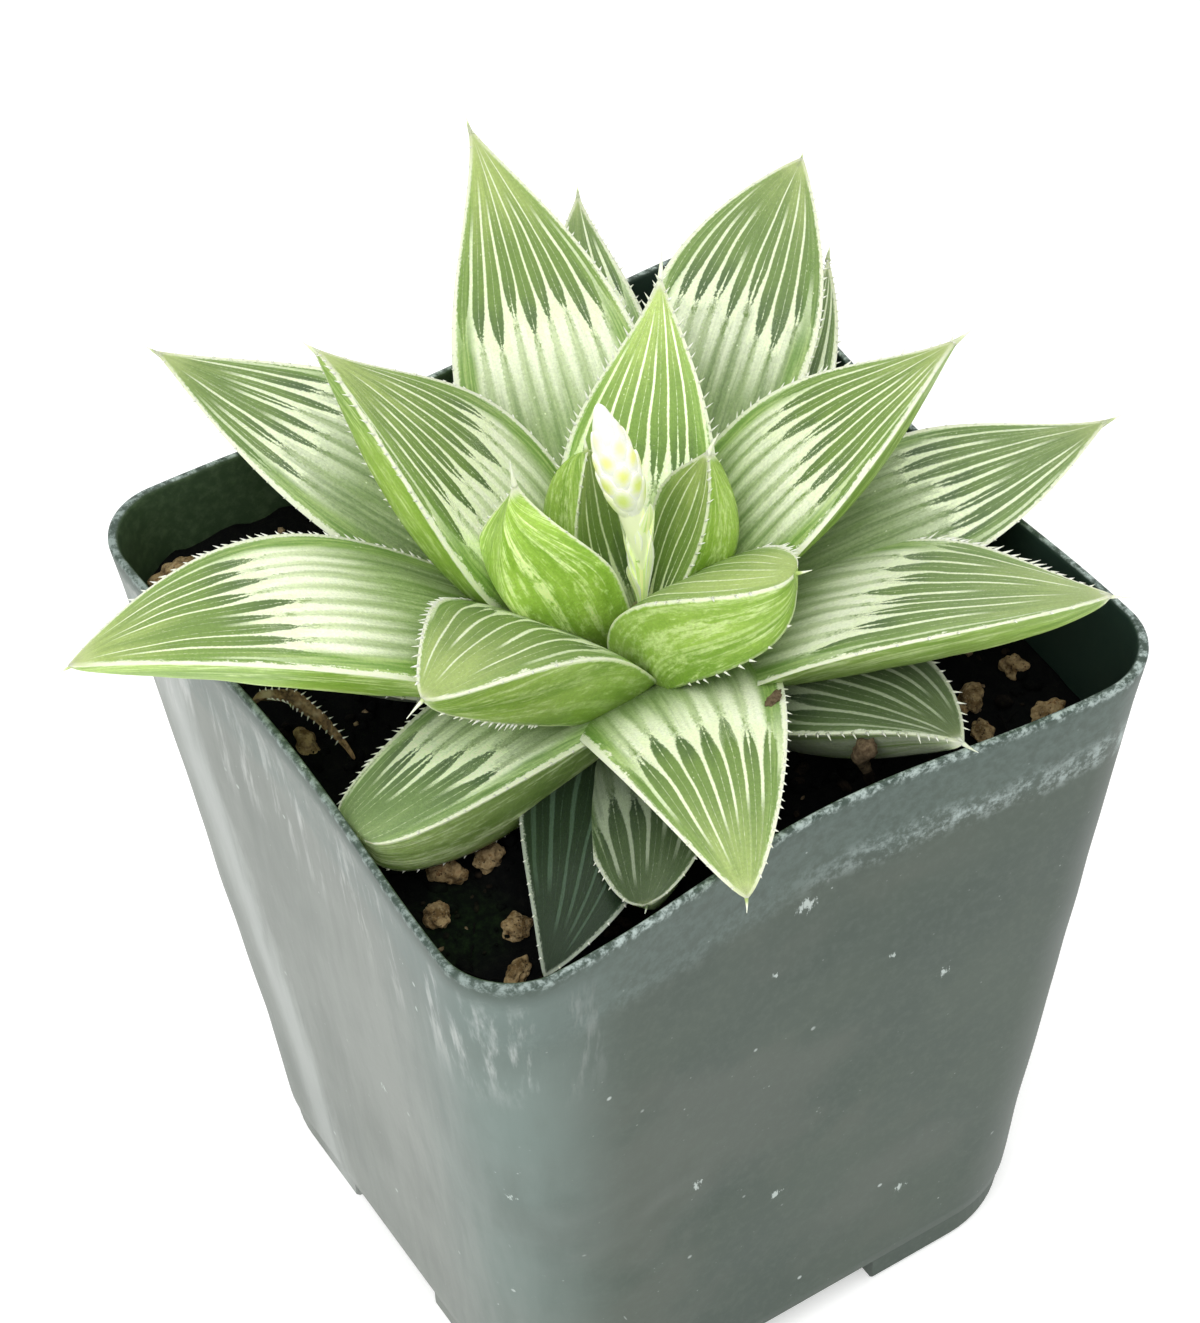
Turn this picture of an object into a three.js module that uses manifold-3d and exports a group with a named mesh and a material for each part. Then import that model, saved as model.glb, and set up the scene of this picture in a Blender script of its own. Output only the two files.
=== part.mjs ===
// Potted haworthia: a thin square nursery pot, soil with pumice, and a rosette of thick toothed leaves
// round a short stem, with one flower bud on its stalk.
// Millimetres, +Z up. The origin is the middle of the rest plane, under the pot's centre pad.

import * as THREE from 'three';
import { mergeVertices } from 'three/addons/utils/BufferGeometryUtils.js';
import Module from 'manifold-3d';

const wasm = await Module();
wasm.setup();

// ---------------------------------------------------------------- driving dimensions

const GAP = 0.3; // clearance between neighbouring pieces
const DEG = Math.PI / 180;

const POT = {
  height: 97.5,
  topHalf: 44.5,
  topCorner: 8.5,
  bottomHalf: 38,
  bottomCorner: 16,
  wall: 1,
  floor: 1.4,
  footHeight: 4.3,
  footInset: 0.6,
  footReach: 28, // how far a foot runs along each side from the corner
  padRadius: 8,
  drainRadius: 4,
  drainAt: 22, // from the pot's axis to each drain hole
  sag: [1.7, 1.65, 1.45, 3], // how far the rim bows inward on the +X, +Y, -X and -Y sides
};

const SOIL = {
  level: 84.5,
  slopeX: -0.04,
  slopeY: 0.06,
  bump: 0.5,
  dip: 5, // hollow round the stem
  dipRadius: 11,
  gritCount: 10,
};

const STEM = { x: 2.5, y: -0.5, bottom: 74, top: 91, bottomRadius: 6.5, topRadius: 3.2 };

const STALK = { radius: 0.9, sides: 6, steps: 6, buds: 7, budRadius: 3.1 };
const BUD_TURN = 2.4; // radians from one bud to the next round the stalk

const TOOTH = { length: 0.95, halfBase: 0.38, sunk: 0.45, spacing: 5, lean: 0.45 };
const BRISTLE = { at: 0.99, length: 2.4, halfBase: 0.35 }; // the long spine at a leaf's tip
const TEETH_FROM = 0.28; // share of the leaf's length where its teeth begin
const TEETH_TO = 0.975;
const STATIONS = 11; // sections along a leaf

// How a leaf's sections run: the last one, how they crowd toward the tip, the tip's reach past them,
// the underside's depth halfway to its keel, and how much further a grown copy's margins stand out.
const SECTION = { last: 0.985, crowding: 0.85, tipReach: 0.4, flankShare: 0.61, marginGrowth: 1.6 };

// Where the leaves of each whorl leave the stem, and how much their upper face swells.
const WHORLS = {
  heart: { radius: 1.5, height: 91, swell: -0.5 },
  inner: { radius: 2.5, height: 89.5, swell: 0.6 },
  middle: { radius: 4, height: 88, swell: 0.8 },
  outer: { radius: 4, height: 86.5, swell: 0.8 },
  lowest: { radius: 3, height: 85.5, swell: 0.8 },
};

// Leaves from the heart outward. Angles are degrees: azimuth from +X at the base, curl at the tip,
// sway and arch at mid-length, rise at the base and at the tip, roll at the base and twist to the tip.
// Width, depth and length are millimetres; widest and keel are shares of the length and half width.
const LEAVES = [
  // name, whorl, azimuth, curl, sway, rise, tipRise, arch, length, roll, twist, width, widest, base, taper, depth, keel
  ['leaf_01', 'heart', 102, -2, -7, 62, 80, 4, 21.5, 16, 12, 12, 0.43, 0.7, 0.65, 6, 0.5],
  ['leaf_02', 'heart', -3, 12, -11, 84, 63, -5, 23, -6, 3, 12.5, 0.5, 0.57, 1.1, 6, -0.65],
  ['leaf_03', 'inner', 165, -12, 11, 49, 84, 3, 30.5, 36, 14, 16.5, 0.53, 0.6, 1.5, 6.5, -0.2],
  ['leaf_04', 'inner', 65, -9, -20, 58, 40, 4, 39, -6, -6, 19, 0.36, 0.6, 1.3, 5, 0],
  ['leaf_05', 'inner', -61, 21, -26, 83, 14, -2.5, 30, 7, -28, 20, 0.26, 0.8, 0.35, 10, -0.8],
  ['leaf_06', 'middle', 188, 9, 21, 44, -10, 26, 45, 1, -5, 23, 0.25, 0.45, 0.66, 9, 0.58],
  ['leaf_07', 'middle', 122, -12, 14, 45, 8, 26, 48.5, -12, 30, 25.5, 0.44, 0.45, 1.35, 6, 0.65],
  ['leaf_08', 'middle', 7.5, -2, -24, 54, 10, 9, 48, 4.5, -6, 22.5, 0.43, 0.6, 1.35, 5.7, -0.5],
  ['leaf_09', 'outer', 250, -2, 1, 37, -23, 12.5, 50.5, 9, -4, 24, 0.2, 0.6, 0.74, 4.5, 0],
  ['leaf_10', 'outer', 79, 0, -6.5, 32, 16, 0, 67.5, -3.5, -1, 23.5, 0.4, 0.6, 1.25, 5, 0],
  ['leaf_11', 'outer', 41, -9, -1, 34, 12, 2, 62, 7, 3, 20.5, 0.58, 0.6, 0.9, 5, 0],
  ['leaf_12', 'outer', -42, 18, -22, 27, -15, 26, 56, 5, -27, 28, 0.4, 0.5, 0.85, 7, -0.15],
  ['leaf_13', 'outer', 167, -5, 7, 33, -25, 26, 68.5, 0, 8, 28, 0.48, 0.35, 0.92, 7, 0.45],
  ['leaf_14', 'outer', 111.5, 0, 13, 33, 4, 2, 63.5, -13, -3, 22.5, 0.42, 0.6, 1.15, 5, 0.4],
  ['leaf_15', 'outer', -7, 5, -17, 28, 6, 3.5, 56, 2, 0, 22, 0.54, 0.6, 1.25, 5, 0],
  ['leaf_16', 'outer', 199, -8, 1, 29, -3, -2, 44.5, 8, 9, 21.5, 0.2, 0.6, 0.3, 9, 0.5],
  ['leaf_17', 'lowest', 235, -8, 9, 18, 1, 5.5, 45, 9, 18, 18.5, 0.43, 0.6, 0.48, 5, 0],
  ['leaf_18', 'lowest', -68, -25, 6, 24, 9, 3, 44.5, 1.5, -5, 20, 0.49, 0.6, 1, 6.5, -0.5],
  ['leaf_19', 'lowest', 61, -4, 6, 26, -4, 5.5, 64.5, -2, 0, 15, 0.48, 0.6, 1.25, 4.5, 0],
  ['leaf_20', 'lowest', 32, 25, -10.5, 26, -5, 6.5, 58, 2, 2, 14, 0.4, 0.6, 1.45, 4, 0],
  ['leaf_21', 'lowest', 224, -10, 9, 13, -5, 4, 51, 2, 0, 19, 0.35, 0.6, 0.83, 3, 0],
  ['leaf_22', 'lowest', 162, 0, 0, 18, 1, 3, 35, 0, 0, 15, 0.45, 0.6, 0.8, 4, 0.3],
  ['leaf_23', 'lowest', 98, 0, 0, 22, 4, 4, 42, 0, 0, 16, 0.45, 0.6, 1, 4.5, 0],
  ['leaf_24', 'lowest', 2, 0, 0, 22, 2, 4, 44, 0, 0, 16, 0.45, 0.6, 1, 4.5, 0],
].map(([name, whorl, azimuth, curl, sway, rise, tipRise, arch, length, roll, twist,
  width, widest, base, taper, depth, keel]) => ({ name, whorl, azimuth, curl, sway, rise, tipRise,
  arch, length, roll, twist, width, widest, base, taper, depth, keel }));

// ---------------------------------------------------------------- solids

function toSolid(geometry) {
  const bare = geometry.clone();
  bare.deleteAttribute('normal');
  bare.deleteAttribute('uv');
  const merged = mergeVertices(bare, 1e-4);
  return new wasm.Manifold(new wasm.Mesh({
    numProp: 3,
    vertProperties: new Float32Array(merged.attributes.position.array),
    triVerts: new Uint32Array(merged.index.array),
  }));
}

function toGeometry(solid) {
  const mesh = solid.getMesh();
  const geometry = new THREE.BufferGeometry();
  const stride = mesh.numProp;
  const count = mesh.vertProperties.length / stride;
  const position = new Float32Array(count * 3);
  for (let i = 0; i < count; i += 1) {
    for (let k = 0; k < 3; k += 1) position[3 * i + k] = mesh.vertProperties[stride * i + k];
  }
  geometry.setAttribute('position', new THREE.BufferAttribute(position, 3));
  geometry.setIndex(new THREE.BufferAttribute(new Uint32Array(mesh.triVerts), 1));
  geometry.computeVertexNormals();
  return geometry;
}

// A closed skin over a row of rings with equal counts, each end closed by a fan to a centre point.
function loft(rings, firstCentre, lastCentre) {
  const n = rings[0].length;
  const points = rings.flat();
  const faces = [];
  for (let r = 0; r + 1 < rings.length; r += 1) {
    for (let i = 0; i < n; i += 1) {
      const a = r * n + i;
      const b = r * n + ((i + 1) % n);
      faces.push(a, b, b + n, a, b + n, a + n);
    }
  }
  const first = points.push(firstCentre) - 1;
  const last = points.push(lastCentre) - 1;
  const lastRing = (rings.length - 1) * n;
  for (let i = 0; i < n; i += 1) {
    const j = (i + 1) % n;
    faces.push(first, j, i, last, lastRing + i, lastRing + j);
  }
  const geometry = new THREE.BufferGeometry();
  geometry.setAttribute('position', new THREE.Float32BufferAttribute(points.flatMap((p) => p.toArray()), 3));
  geometry.setIndex(faces);
  return toSolid(geometry);
}

function union(solids) {
  return wasm.Manifold.union(solids);
}

// The biggest of the bodies that a cut leaves.
function largest(solid) {
  return solid.decompose().sort((a, b) => b.volume() - a.volume())[0];
}

function overlaps(a, b) {
  const p = a.boundingBox();
  const q = b.boundingBox();
  return [0, 1, 2].every((k) => p.min[k] < q.max[k] && q.min[k] < p.max[k]);
}

function subtractAll(solid, cutters) {
  const near = cutters.filter((cutter) => overlaps(solid, cutter));
  return near.length ? solid.subtract(union(near)) : solid;
}

function seededRandom(seed) {
  let state = seed;
  return () => {
    state = (state + 0x6d2b79f5) | 0;
    let t = Math.imul(state ^ (state >>> 15), 1 | state);
    t = (t + Math.imul(t ^ (t >>> 7), 61 | t)) ^ t;
    return ((t ^ (t >>> 14)) >>> 0) / 4294967296;
  };
}

// ---------------------------------------------------------------- pot

// Outline of the pot at a height: straight sides that bow inward toward the rim, round corners.
function potRing(z, inset, sideSteps = 6, cornerSteps = 4) {
  const share = (z - POT.footHeight) / (POT.height - POT.footHeight);
  const half = THREE.MathUtils.lerp(POT.bottomHalf, POT.topHalf, share) - inset;
  const corner = THREE.MathUtils.lerp(POT.bottomCorner, POT.topCorner, share) - inset;
  const straight = half - corner;
  const ring = [];
  for (let side = 0; side < 4; side += 1) {
    const turn = (side * Math.PI) / 2;
    const place = (along, out) => ring.push(new THREE.Vector3(
      Math.cos(turn) * out - Math.sin(turn) * along,
      Math.sin(turn) * out + Math.cos(turn) * along,
      z,
    ));
    for (let i = 0; i <= sideSteps; i += 1) {
      const t = -1 + (2 * i) / sideSteps;
      const sag = POT.sag[side] * share * share * Math.cos((Math.PI / 2) * t) ** 2;
      place(t * straight, half - sag);
    }
    for (let i = 1; i < cornerSteps; i += 1) {
      const angle = ((Math.PI / 2) * i) / cornerSteps;
      place(straight + corner * Math.sin(angle), straight + corner * Math.cos(angle));
    }
  }
  return ring;
}

function potShell(inset, bottom, top, heights) {
  const rings = heights.map((z) => potRing(z, inset));
  return loft(rings, new THREE.Vector3(0, 0, bottom), new THREE.Vector3(0, 0, top));
}

const POT_LEVELS = [0.35, 0.7].map((t) => THREE.MathUtils.lerp(POT.footHeight, POT.height, t));

function cylinder(radius, z0, z1, x, y, sides = 24, topRadius = radius) {
  const geometry = new THREE.CylinderGeometry(topRadius, radius, z1 - z0, sides);
  geometry.rotateX(Math.PI / 2);
  geometry.translate(x, y, (z0 + z1) / 2);
  return toSolid(geometry);
}

function makePot() {
  const floorTop = POT.footHeight + POT.floor;
  const above = POT.height + 2;
  const outer = potShell(0, POT.footHeight, POT.height, [POT.footHeight, ...POT_LEVELS, POT.height]);
  const hollow = potShell(POT.wall, floorTop, above, [floorTop, ...POT_LEVELS, above]);
  // The feet stand under the corners: a rounded square slab, inset from the wall, with a cross cut out.
  const slab = loft(
    [0, POT.footHeight + 0.5].map((z) => potRing(POT.footHeight, POT.footInset).map((p) => p.setZ(z))),
    new THREE.Vector3(0, 0, 0),
    new THREE.Vector3(0, 0, POT.footHeight + 0.5),
  );
  const channel = 2 * (POT.bottomHalf - POT.footReach);
  const long = 2 * POT.bottomHalf + 10;
  const bars = [[long, channel], [channel, long]].map(([x, y]) => {
    const bar = new THREE.BoxGeometry(x, y, 2 * POT.footHeight);
    return toSolid(bar);
  });
  const middle = cylinder(POT.bottomHalf - 12, -POT.footHeight, POT.footHeight, 0, 0, 32);
  const feet = slab.subtract(union([...bars, middle]));
  const pad = cylinder(POT.padRadius, 0, POT.footHeight + 0.5, 0, 0);
  const drains = [0, 1, 2, 3].map((k) => cylinder(
    POT.drainRadius, -1, floorTop + 1,
    POT.drainAt * Math.cos((k * Math.PI) / 2), POT.drainAt * Math.sin((k * Math.PI) / 2),
  ));
  return outer.subtract(hollow).add(union([feet, pad])).subtract(union(drains));
}

// ---------------------------------------------------------------- soil and pumice

function soilHeight(x, y) {
  const fromStem = Math.hypot(x - STEM.x, y - STEM.y) / SOIL.dipRadius;
  const bump = Math.sin(0.31 * x + 1.3) * Math.cos(0.27 * y - 0.4) + 0.5 * Math.sin(0.83 * x - 0.61 * y);
  return SOIL.level + SOIL.slopeX * x + SOIL.slopeY * y + SOIL.bump * bump
    - SOIL.dip * Math.exp(-fromStem * fromStem);
}

function lump(x, y, z, sx, sy, sz, turn, detail, rough, random) {
  const geometry = mergeVertices(bareIcosahedron(detail));
  const position = geometry.attributes.position;
  for (let i = 0; i < position.count; i += 1) {
    const p = new THREE.Vector3().fromBufferAttribute(position, i);
    p.multiplyScalar(1 + rough * (random() - 0.5));
    position.setXYZ(i, p.x * sx, p.y * sy, p.z * sz);
  }
  geometry.rotateZ(turn);
  geometry.translate(x, y, z);
  return toSolid(geometry);
}

function bareIcosahedron(detail) {
  const geometry = new THREE.IcosahedronGeometry(1, detail);
  geometry.deleteAttribute('normal');
  geometry.deleteAttribute('uv');
  return geometry;
}

// Loose pumice: name, x, y, rise above the soil, half sizes, turn.
const PUMICE = [
  ['pumice_1', -37, 37.5, 1.2, 3, 2, 1.6, 0.3],
  ['pumice_2', -39, 32.5, 0.6, 1.6, 1.4, 1.1, 1.0],
  ['pumice_3', -32.9, -16.7, 0.7, 2, 1.3, 1.4, 2.2],
  ['pumice_4', -27.8, -16.9, 0.6, 1.8, 1.4, 1.1, 0.4],
  ['pumice_5', -36.9, -21.3, 0.4, 1.9, 1.5, 1.3, 1.2],
  ['pumice_6', -30.2, -26.4, 0.5, 1.7, 1.4, 1.1, 0.2],
  ['pumice_7', -33.4, -32, 0.4, 1.9, 1.2, 1.1, 0.7],
  ['pumice_8', 31, -25, 0.6, 1.8, 1.5, 1.2, 0.5],
  ['pumice_9', 29, -30, 0.5, 1.7, 1.2, 1, 1.6],
  ['pumice_10', 37, -31.5, 0.6, 2.2, 1.5, 1.2, 0.2],
  ['pumice_11', 38, -24, 0.4, 1.5, 1.3, 1.1, 2],
  ['pumice_12', -36.4, 8, 0.2, 1.2, 1.9, 0.9, 0.1],
];

function makePumice([, x, y, rise, sx, sy, sz, turn], index, grow = 0) {
  const random = seededRandom(11 + index);
  const detail = sx > 2.5 ? 1 : 0;
  return lump(x, y, soilHeight(x, y) + rise, sx + grow, sy + grow, sz + grow, turn, detail, 0.22, random);
}

function makeSoil() {
  const bottom = POT.footHeight + POT.floor + GAP;
  const inset = POT.wall + 2 * GAP;
  const rings = [bottom, ...POT_LEVELS].map((z) => potRing(z, inset));
  const edge = potRing(SOIL.level, inset);
  for (const share of [1, 0.78, 0.55, 0.3]) {
    rings.push(edge.map((p) => {
      const x = p.x * share;
      const y = p.y * share;
      return new THREE.Vector3(x, y, soilHeight(x, y));
    }));
  }
  const body = loft(rings, new THREE.Vector3(0, 0, bottom), new THREE.Vector3(0, 0, soilHeight(0, 0)));
  const random = seededRandom(7);
  const grit = [];
  while (grit.length < SOIL.gritCount) {
    const x = (random() - 0.5) * 76;
    const y = (random() - 0.5) * 74;
    const size = 0.8 + 0.7 * random();
    const clear = PUMICE.every((stone) => Math.hypot(stone[1] - x, stone[2] - y) > 4.5);
    if (clear && Math.hypot(x - STEM.x, y - STEM.y) > 17) {
      grit.push(lump(x, y, soilHeight(x, y), size * 1.3, size, size, 3 * random(), 0, 0.2, random));
    }
  }
  return union([body, ...grit]);
}

// ---------------------------------------------------------------- leaves

const humped = (t) => 4 * t * (1 - t);

function leafDirection(leaf, t) {
  const rise = (leaf.rise + (leaf.tipRise - leaf.rise) * t + leaf.arch * humped(t)) * DEG;
  const azimuth = (leaf.azimuth + leaf.curl * t * t + leaf.sway * humped(t)) * DEG;
  return {
    azimuth,
    forward: new THREE.Vector3(
      Math.cos(rise) * Math.cos(azimuth),
      Math.cos(rise) * Math.sin(azimuth),
      Math.sin(rise),
    ),
  };
}

function leafHalfWidth(leaf, t) {
  const full = leaf.width / 2;
  if (t < leaf.widest) {
    const rising = Math.sin(((Math.PI / 2) * t) / leaf.widest) ** 1.3;
    return full * (leaf.base + (1 - leaf.base) * rising);
  }
  return full * Math.max(0, Math.cos(((Math.PI / 2) * (t - leaf.widest)) / (1 - leaf.widest))) ** leaf.taper;
}

function leafDepth(leaf, t) {
  if (t < 0.55) return leaf.depth * (0.65 + 0.35 * Math.sin(((Math.PI / 2) * t) / 0.55));
  const falling = Math.max(0, Math.cos(((Math.PI / 2) * (t - 0.55)) / 0.45));
  return leaf.depth * falling ** (0.15 + 0.5 * leaf.taper);
}

// Frames along the leaf: centre line point, side and up directions, half width and depth.
function leafFrames(leaf, stations, steps = 60) {
  const whorl = WHORLS[leaf.whorl];
  const start = leaf.azimuth * DEG;
  const centre = new THREE.Vector3(
    STEM.x + whorl.radius * Math.cos(start),
    STEM.y + whorl.radius * Math.sin(start),
    whorl.height,
  );
  const centres = [centre.clone()];
  for (let i = 0; i < steps; i += 1) {
    centre.addScaledVector(leafDirection(leaf, (i + 0.5) / steps).forward, leaf.length / steps);
    centres.push(centre.clone());
  }
  return stations.map((t) => {
    const { azimuth, forward } = leafDirection(leaf, t);
    const level = new THREE.Vector3(-Math.sin(azimuth), Math.cos(azimuth), 0);
    const over = forward.clone().cross(level);
    const roll = (leaf.roll + leaf.twist * t) * DEG;
    const side = level.clone().multiplyScalar(Math.cos(roll)).addScaledVector(over, Math.sin(roll));
    const up = level.clone().multiplyScalar(-Math.sin(roll)).addScaledVector(over, Math.cos(roll));
    const at = t * steps;
    const low = Math.min(Math.floor(at), steps - 1);
    return {
      t,
      forward,
      side,
      up,
      centre: centres[low].clone().lerp(centres[low + 1], at - low),
      halfWidth: leafHalfWidth(leaf, t),
      depth: leafDepth(leaf, t),
    };
  });
}

// One section: a swollen upper face between two sharp margins, and a keeled underside.
function leafRing(leaf, frame, grow) {
  const { centre, side, up, halfWidth, depth } = frame;
  const swell = WHORLS[leaf.whorl].swell * (halfWidth / (leaf.width / 2));
  const wide = halfWidth + SECTION.marginGrowth * grow;
  const point = (across, height) => centre.clone().addScaledVector(side, across * wide)
    .addScaledVector(up, height);
  const flank = -depth * SECTION.flankShare - grow;
  return [
    point(1, 0), point(0, swell + grow), point(-1, 0),
    point((leaf.keel - 1) / 2, flank), point(leaf.keel, -depth - grow), point((leaf.keel + 1) / 2, flank),
  ];
}

function leafBody(leaf, grow = 0) {
  const stations = [];
  for (let i = 0; i < STATIONS; i += 1) {
    stations.push(SECTION.last * (i / (STATIONS - 1)) ** SECTION.crowding);
  }
  const frames = leafFrames(leaf, [...stations, 1]);
  const tip = frames.pop();
  frames[0].centre.addScaledVector(frames[0].forward, -grow);
  frames.at(-1).centre.addScaledVector(frames.at(-1).forward, grow);
  const rings = frames.map((frame) => leafRing(leaf, frame, grow));
  const first = frames[0];
  const back = first.centre.clone().addScaledVector(first.up, -0.4 * first.depth)
    .addScaledVector(first.forward, -grow);
  const end = tip.centre.clone().addScaledVector(tip.forward, SECTION.tipReach + grow);
  return loft(rings, back, end);
}

// A three-sided tooth whose root is sunk in the margin.
function tooth(root, outward, along, length, halfBase) {
  const across = outward.clone().cross(along).normalize();
  const base = root.clone().addScaledVector(outward, -TOOTH.sunk);
  const ring = [0, 1, 2].map((k) => {
    const angle = (2 * Math.PI * k) / 3;
    return base.clone().addScaledVector(along, halfBase * Math.cos(angle))
      .addScaledVector(across, halfBase * Math.sin(angle));
  });
  const tipPoint = root.clone().addScaledVector(outward, length);
  const points = [...ring, tipPoint];
  const geometry = new THREE.BufferGeometry();
  geometry.setAttribute('position', new THREE.Float32BufferAttribute(points.flatMap((p) => p.toArray()), 3));
  geometry.setIndex([0, 1, 3, 1, 2, 3, 2, 0, 3, 2, 1, 0]);
  const solid = toSolid(geometry);
  if (solid.volume() > 0) return solid;
  geometry.setIndex([1, 0, 3, 2, 1, 3, 0, 2, 3, 1, 2, 0]);
  return toSolid(geometry);
}

function leafTeeth(leaf) {
  const count = Math.round((leaf.length * (TEETH_TO - TEETH_FROM)) / TOOTH.spacing);
  const teeth = [];
  for (let i = 0; i <= count; i += 1) {
    const t = TEETH_FROM + ((TEETH_TO - TEETH_FROM) * i) / count;
    const [frame, next] = leafFrames(leaf, [t, Math.min(1, t + 0.01)]);
    for (const hand of [1, -1]) {
      const here = frame.centre.clone().addScaledVector(frame.side, hand * frame.halfWidth);
      const there = next.centre.clone().addScaledVector(next.side, hand * next.halfWidth);
      const along = there.sub(here).normalize();
      const outward = frame.side.clone().multiplyScalar(hand);
      outward.addScaledVector(along, -outward.dot(along)).normalize();
      const lean = outward.clone().addScaledVector(along, TOOTH.lean).normalize();
      teeth.push(tooth(here, lean, along, TOOTH.length, TOOTH.halfBase));
    }
  }
  const [last] = leafFrames(leaf, [BRISTLE.at]);
  teeth.push(tooth(last.centre, last.forward, last.side, BRISTLE.length, BRISTLE.halfBase));
  return teeth;
}

// ---------------------------------------------------------------- stalk, bud and dry leaf

function tube(points, radius, sides) {
  const section = new THREE.Shape();
  for (let i = 0; i < sides; i += 1) {
    const angle = (2 * Math.PI * i) / sides;
    const x = radius * Math.cos(angle);
    const y = radius * Math.sin(angle);
    if (i === 0) section.moveTo(x, y);
    else section.lineTo(x, y);
  }
  const path = new THREE.CatmullRomCurve3(points);
  const options = { steps: STALK.steps, bevelEnabled: false, extrudePath: path };
  return toSolid(new THREE.ExtrudeGeometry(section, options));
}

const BUD_BASE = new THREE.Vector3(1.7, -1.6, 109.5);
const BUD_TOP = new THREE.Vector3(-1.9, -1.4, 126.5);

function makeStalk() {
  const path = [
    new THREE.Vector3(2.9, -0.4, 88),
    new THREE.Vector3(3, -0.5, 95),
    new THREE.Vector3(2.5, -1.2, 103),
    BUD_BASE.clone().addScaledVector(new THREE.Vector3(-0.2, 0, 1), 3),
  ];
  const stalk = tube(path, STALK.radius, STALK.sides);
  // Buds overlap like scales round the axis, small at the top.
  const axis = BUD_TOP.clone().sub(BUD_BASE);
  const buds = [];
  for (let i = 0; i < STALK.buds; i += 1) {
    const t = i / (STALK.buds - 1);
    const turn = i * BUD_TURN;
    const spread = STALK.budRadius * 0.45 * Math.sin(Math.PI * (0.2 + 0.72 * t));
    const centre = BUD_BASE.clone().addScaledVector(axis, 0.16 + 0.68 * t);
    const size = STALK.budRadius * (0.72 - 0.34 * t);
    const geometry = new THREE.SphereGeometry(1, 6, 5);
    geometry.rotateX(Math.PI / 2);
    geometry.scale(size, size, size * 2.1);
    geometry.translate(
      centre.x + spread * Math.cos(turn),
      centre.y + spread * Math.sin(turn),
      centre.z,
    );
    buds.push(toSolid(geometry));
  }
  const bracts = [[0.2, 100], [3.4, 97], [1.9, 104]].map(([turn, z]) => {
    const geometry = new THREE.ConeGeometry(1.3, 9, 6);
    geometry.scale(1, 1, 0.45);
    geometry.rotateX(Math.PI / 2);
    geometry.rotateZ(turn);
    geometry.translate(2.5 + 0.9 * Math.cos(turn + 1.57), -0.9 + 0.9 * Math.sin(turn + 1.57), z);
    return toSolid(geometry);
  });
  return union([stalk, ...buds, ...bracts]);
}

function makeStem(grow = 0) {
  return cylinder(
    STEM.bottomRadius + grow, STEM.bottom - grow, STEM.top + grow, STEM.x, STEM.y, 16,
    STEM.topRadius + grow,
  );
}

// A withered leaf that hangs from the -X wall down onto the soil: points of its middle line.
const DRY_LEAF = {
  route: [[-40.6, 11.6, 92.5], [-38.6, 12.4, 91.6], [-36, 11.8, 90.2], [-34.6, 9.4, 89.1],
    [-33.4, 6.2, 87.6], [-33, 3, 86.4]],
  halfWidth: 1.5,
  tipHalfWidth: 0.25,
  halfThickness: 0.6,
  steps: 12,
  toothLength: 0.8,
  toothHalfBase: 0.3,
};

function makeDryLeaf() {
  const path = new THREE.CatmullRomCurve3(DRY_LEAF.route.map((p) => new THREE.Vector3(...p)));
  const spread = DRY_LEAF.halfWidth - DRY_LEAF.tipHalfWidth;
  const rings = [];
  const teeth = [];
  for (let i = 0; i <= DRY_LEAF.steps; i += 1) {
    const t = i / DRY_LEAF.steps;
    const centre = path.getPointAt(t);
    const forward = path.getTangentAt(t);
    const side = new THREE.Vector3(0, 0, 1).cross(forward).normalize();
    const up = forward.clone().cross(side);
    const wide = DRY_LEAF.tipHalfWidth + spread * Math.sin(Math.PI * t ** 0.8) ** 1.4;
    const thick = DRY_LEAF.halfThickness * (0.33 + 0.67 * Math.sin(Math.PI * t));
    rings.push([[1, 0.3], [0, 1], [-1, 0.3], [0, -0.6]].map(([across, height]) => centre.clone()
      .addScaledVector(side, across * wide).addScaledVector(up, height * thick)));
    if (i < 3 || i > 9) continue;
    for (const hand of [1, -1]) {
      const root = centre.clone().addScaledVector(side, hand * (wide - 0.15));
      const outward = side.clone().multiplyScalar(hand);
      teeth.push(tooth(root, outward, forward, DRY_LEAF.toothLength, DRY_LEAF.toothHalfBase));
    }
  }
  const body = loft(rings, path.getPointAt(0), path.getPointAt(1));
  return union([body, ...teeth]);
}

// ---------------------------------------------------------------- assembly

const group = new THREE.Group();
group.name = 'potted_haworthia';

function addPiece(name, solid, color, roughness) {
  const mesh = new THREE.Mesh(
    toGeometry(solid),
    new THREE.MeshStandardMaterial({ color, roughness, metalness: 0 }),
  );
  mesh.name = name;
  group.add(mesh);
}

const pot = makePot();
addPiece('pot', pot, 0x66776f, 0.5);

const stem = makeStem();
addPiece('stem', stem, 0x8d9a5c, 0.7);

const stalk = makeStalk();
const potKeepOut = potShell(-GAP, 50, POT.height + GAP, [50, 70, 90, POT.height + GAP])
  .subtract(potShell(POT.wall + GAP, 40, POT.height + 4, [40, 70, 90, POT.height + 4]));

const grown = LEAVES.map((leaf) => leafBody(leaf, GAP));
const placed = [makeStem(GAP), stalk, potKeepOut];
const finished = [];
LEAVES.forEach((leaf, index) => {
  const body = largest(subtractAll(leafBody(leaf), placed));
  const others = grown.filter((_, k) => k !== index).concat([stalk, potKeepOut], finished);
  const teeth = leafTeeth(leaf).filter((spike) => others.every(
    (other) => !overlaps(spike, other) || spike.intersect(other).volume() <= 0,
  ));
  const whole = largest(union([body, ...teeth]));
  addPiece(leaf.name, whole, index < 9 ? 0x8fae5a : 0x6f8f5c, 0.45);
  placed.push(grown[index], body);
  finished.push(whole);
});
addPiece('flower_stalk', largest(subtractAll(stalk, [makeStem(GAP)])), 0xdfe6c2, 0.5);

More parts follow.
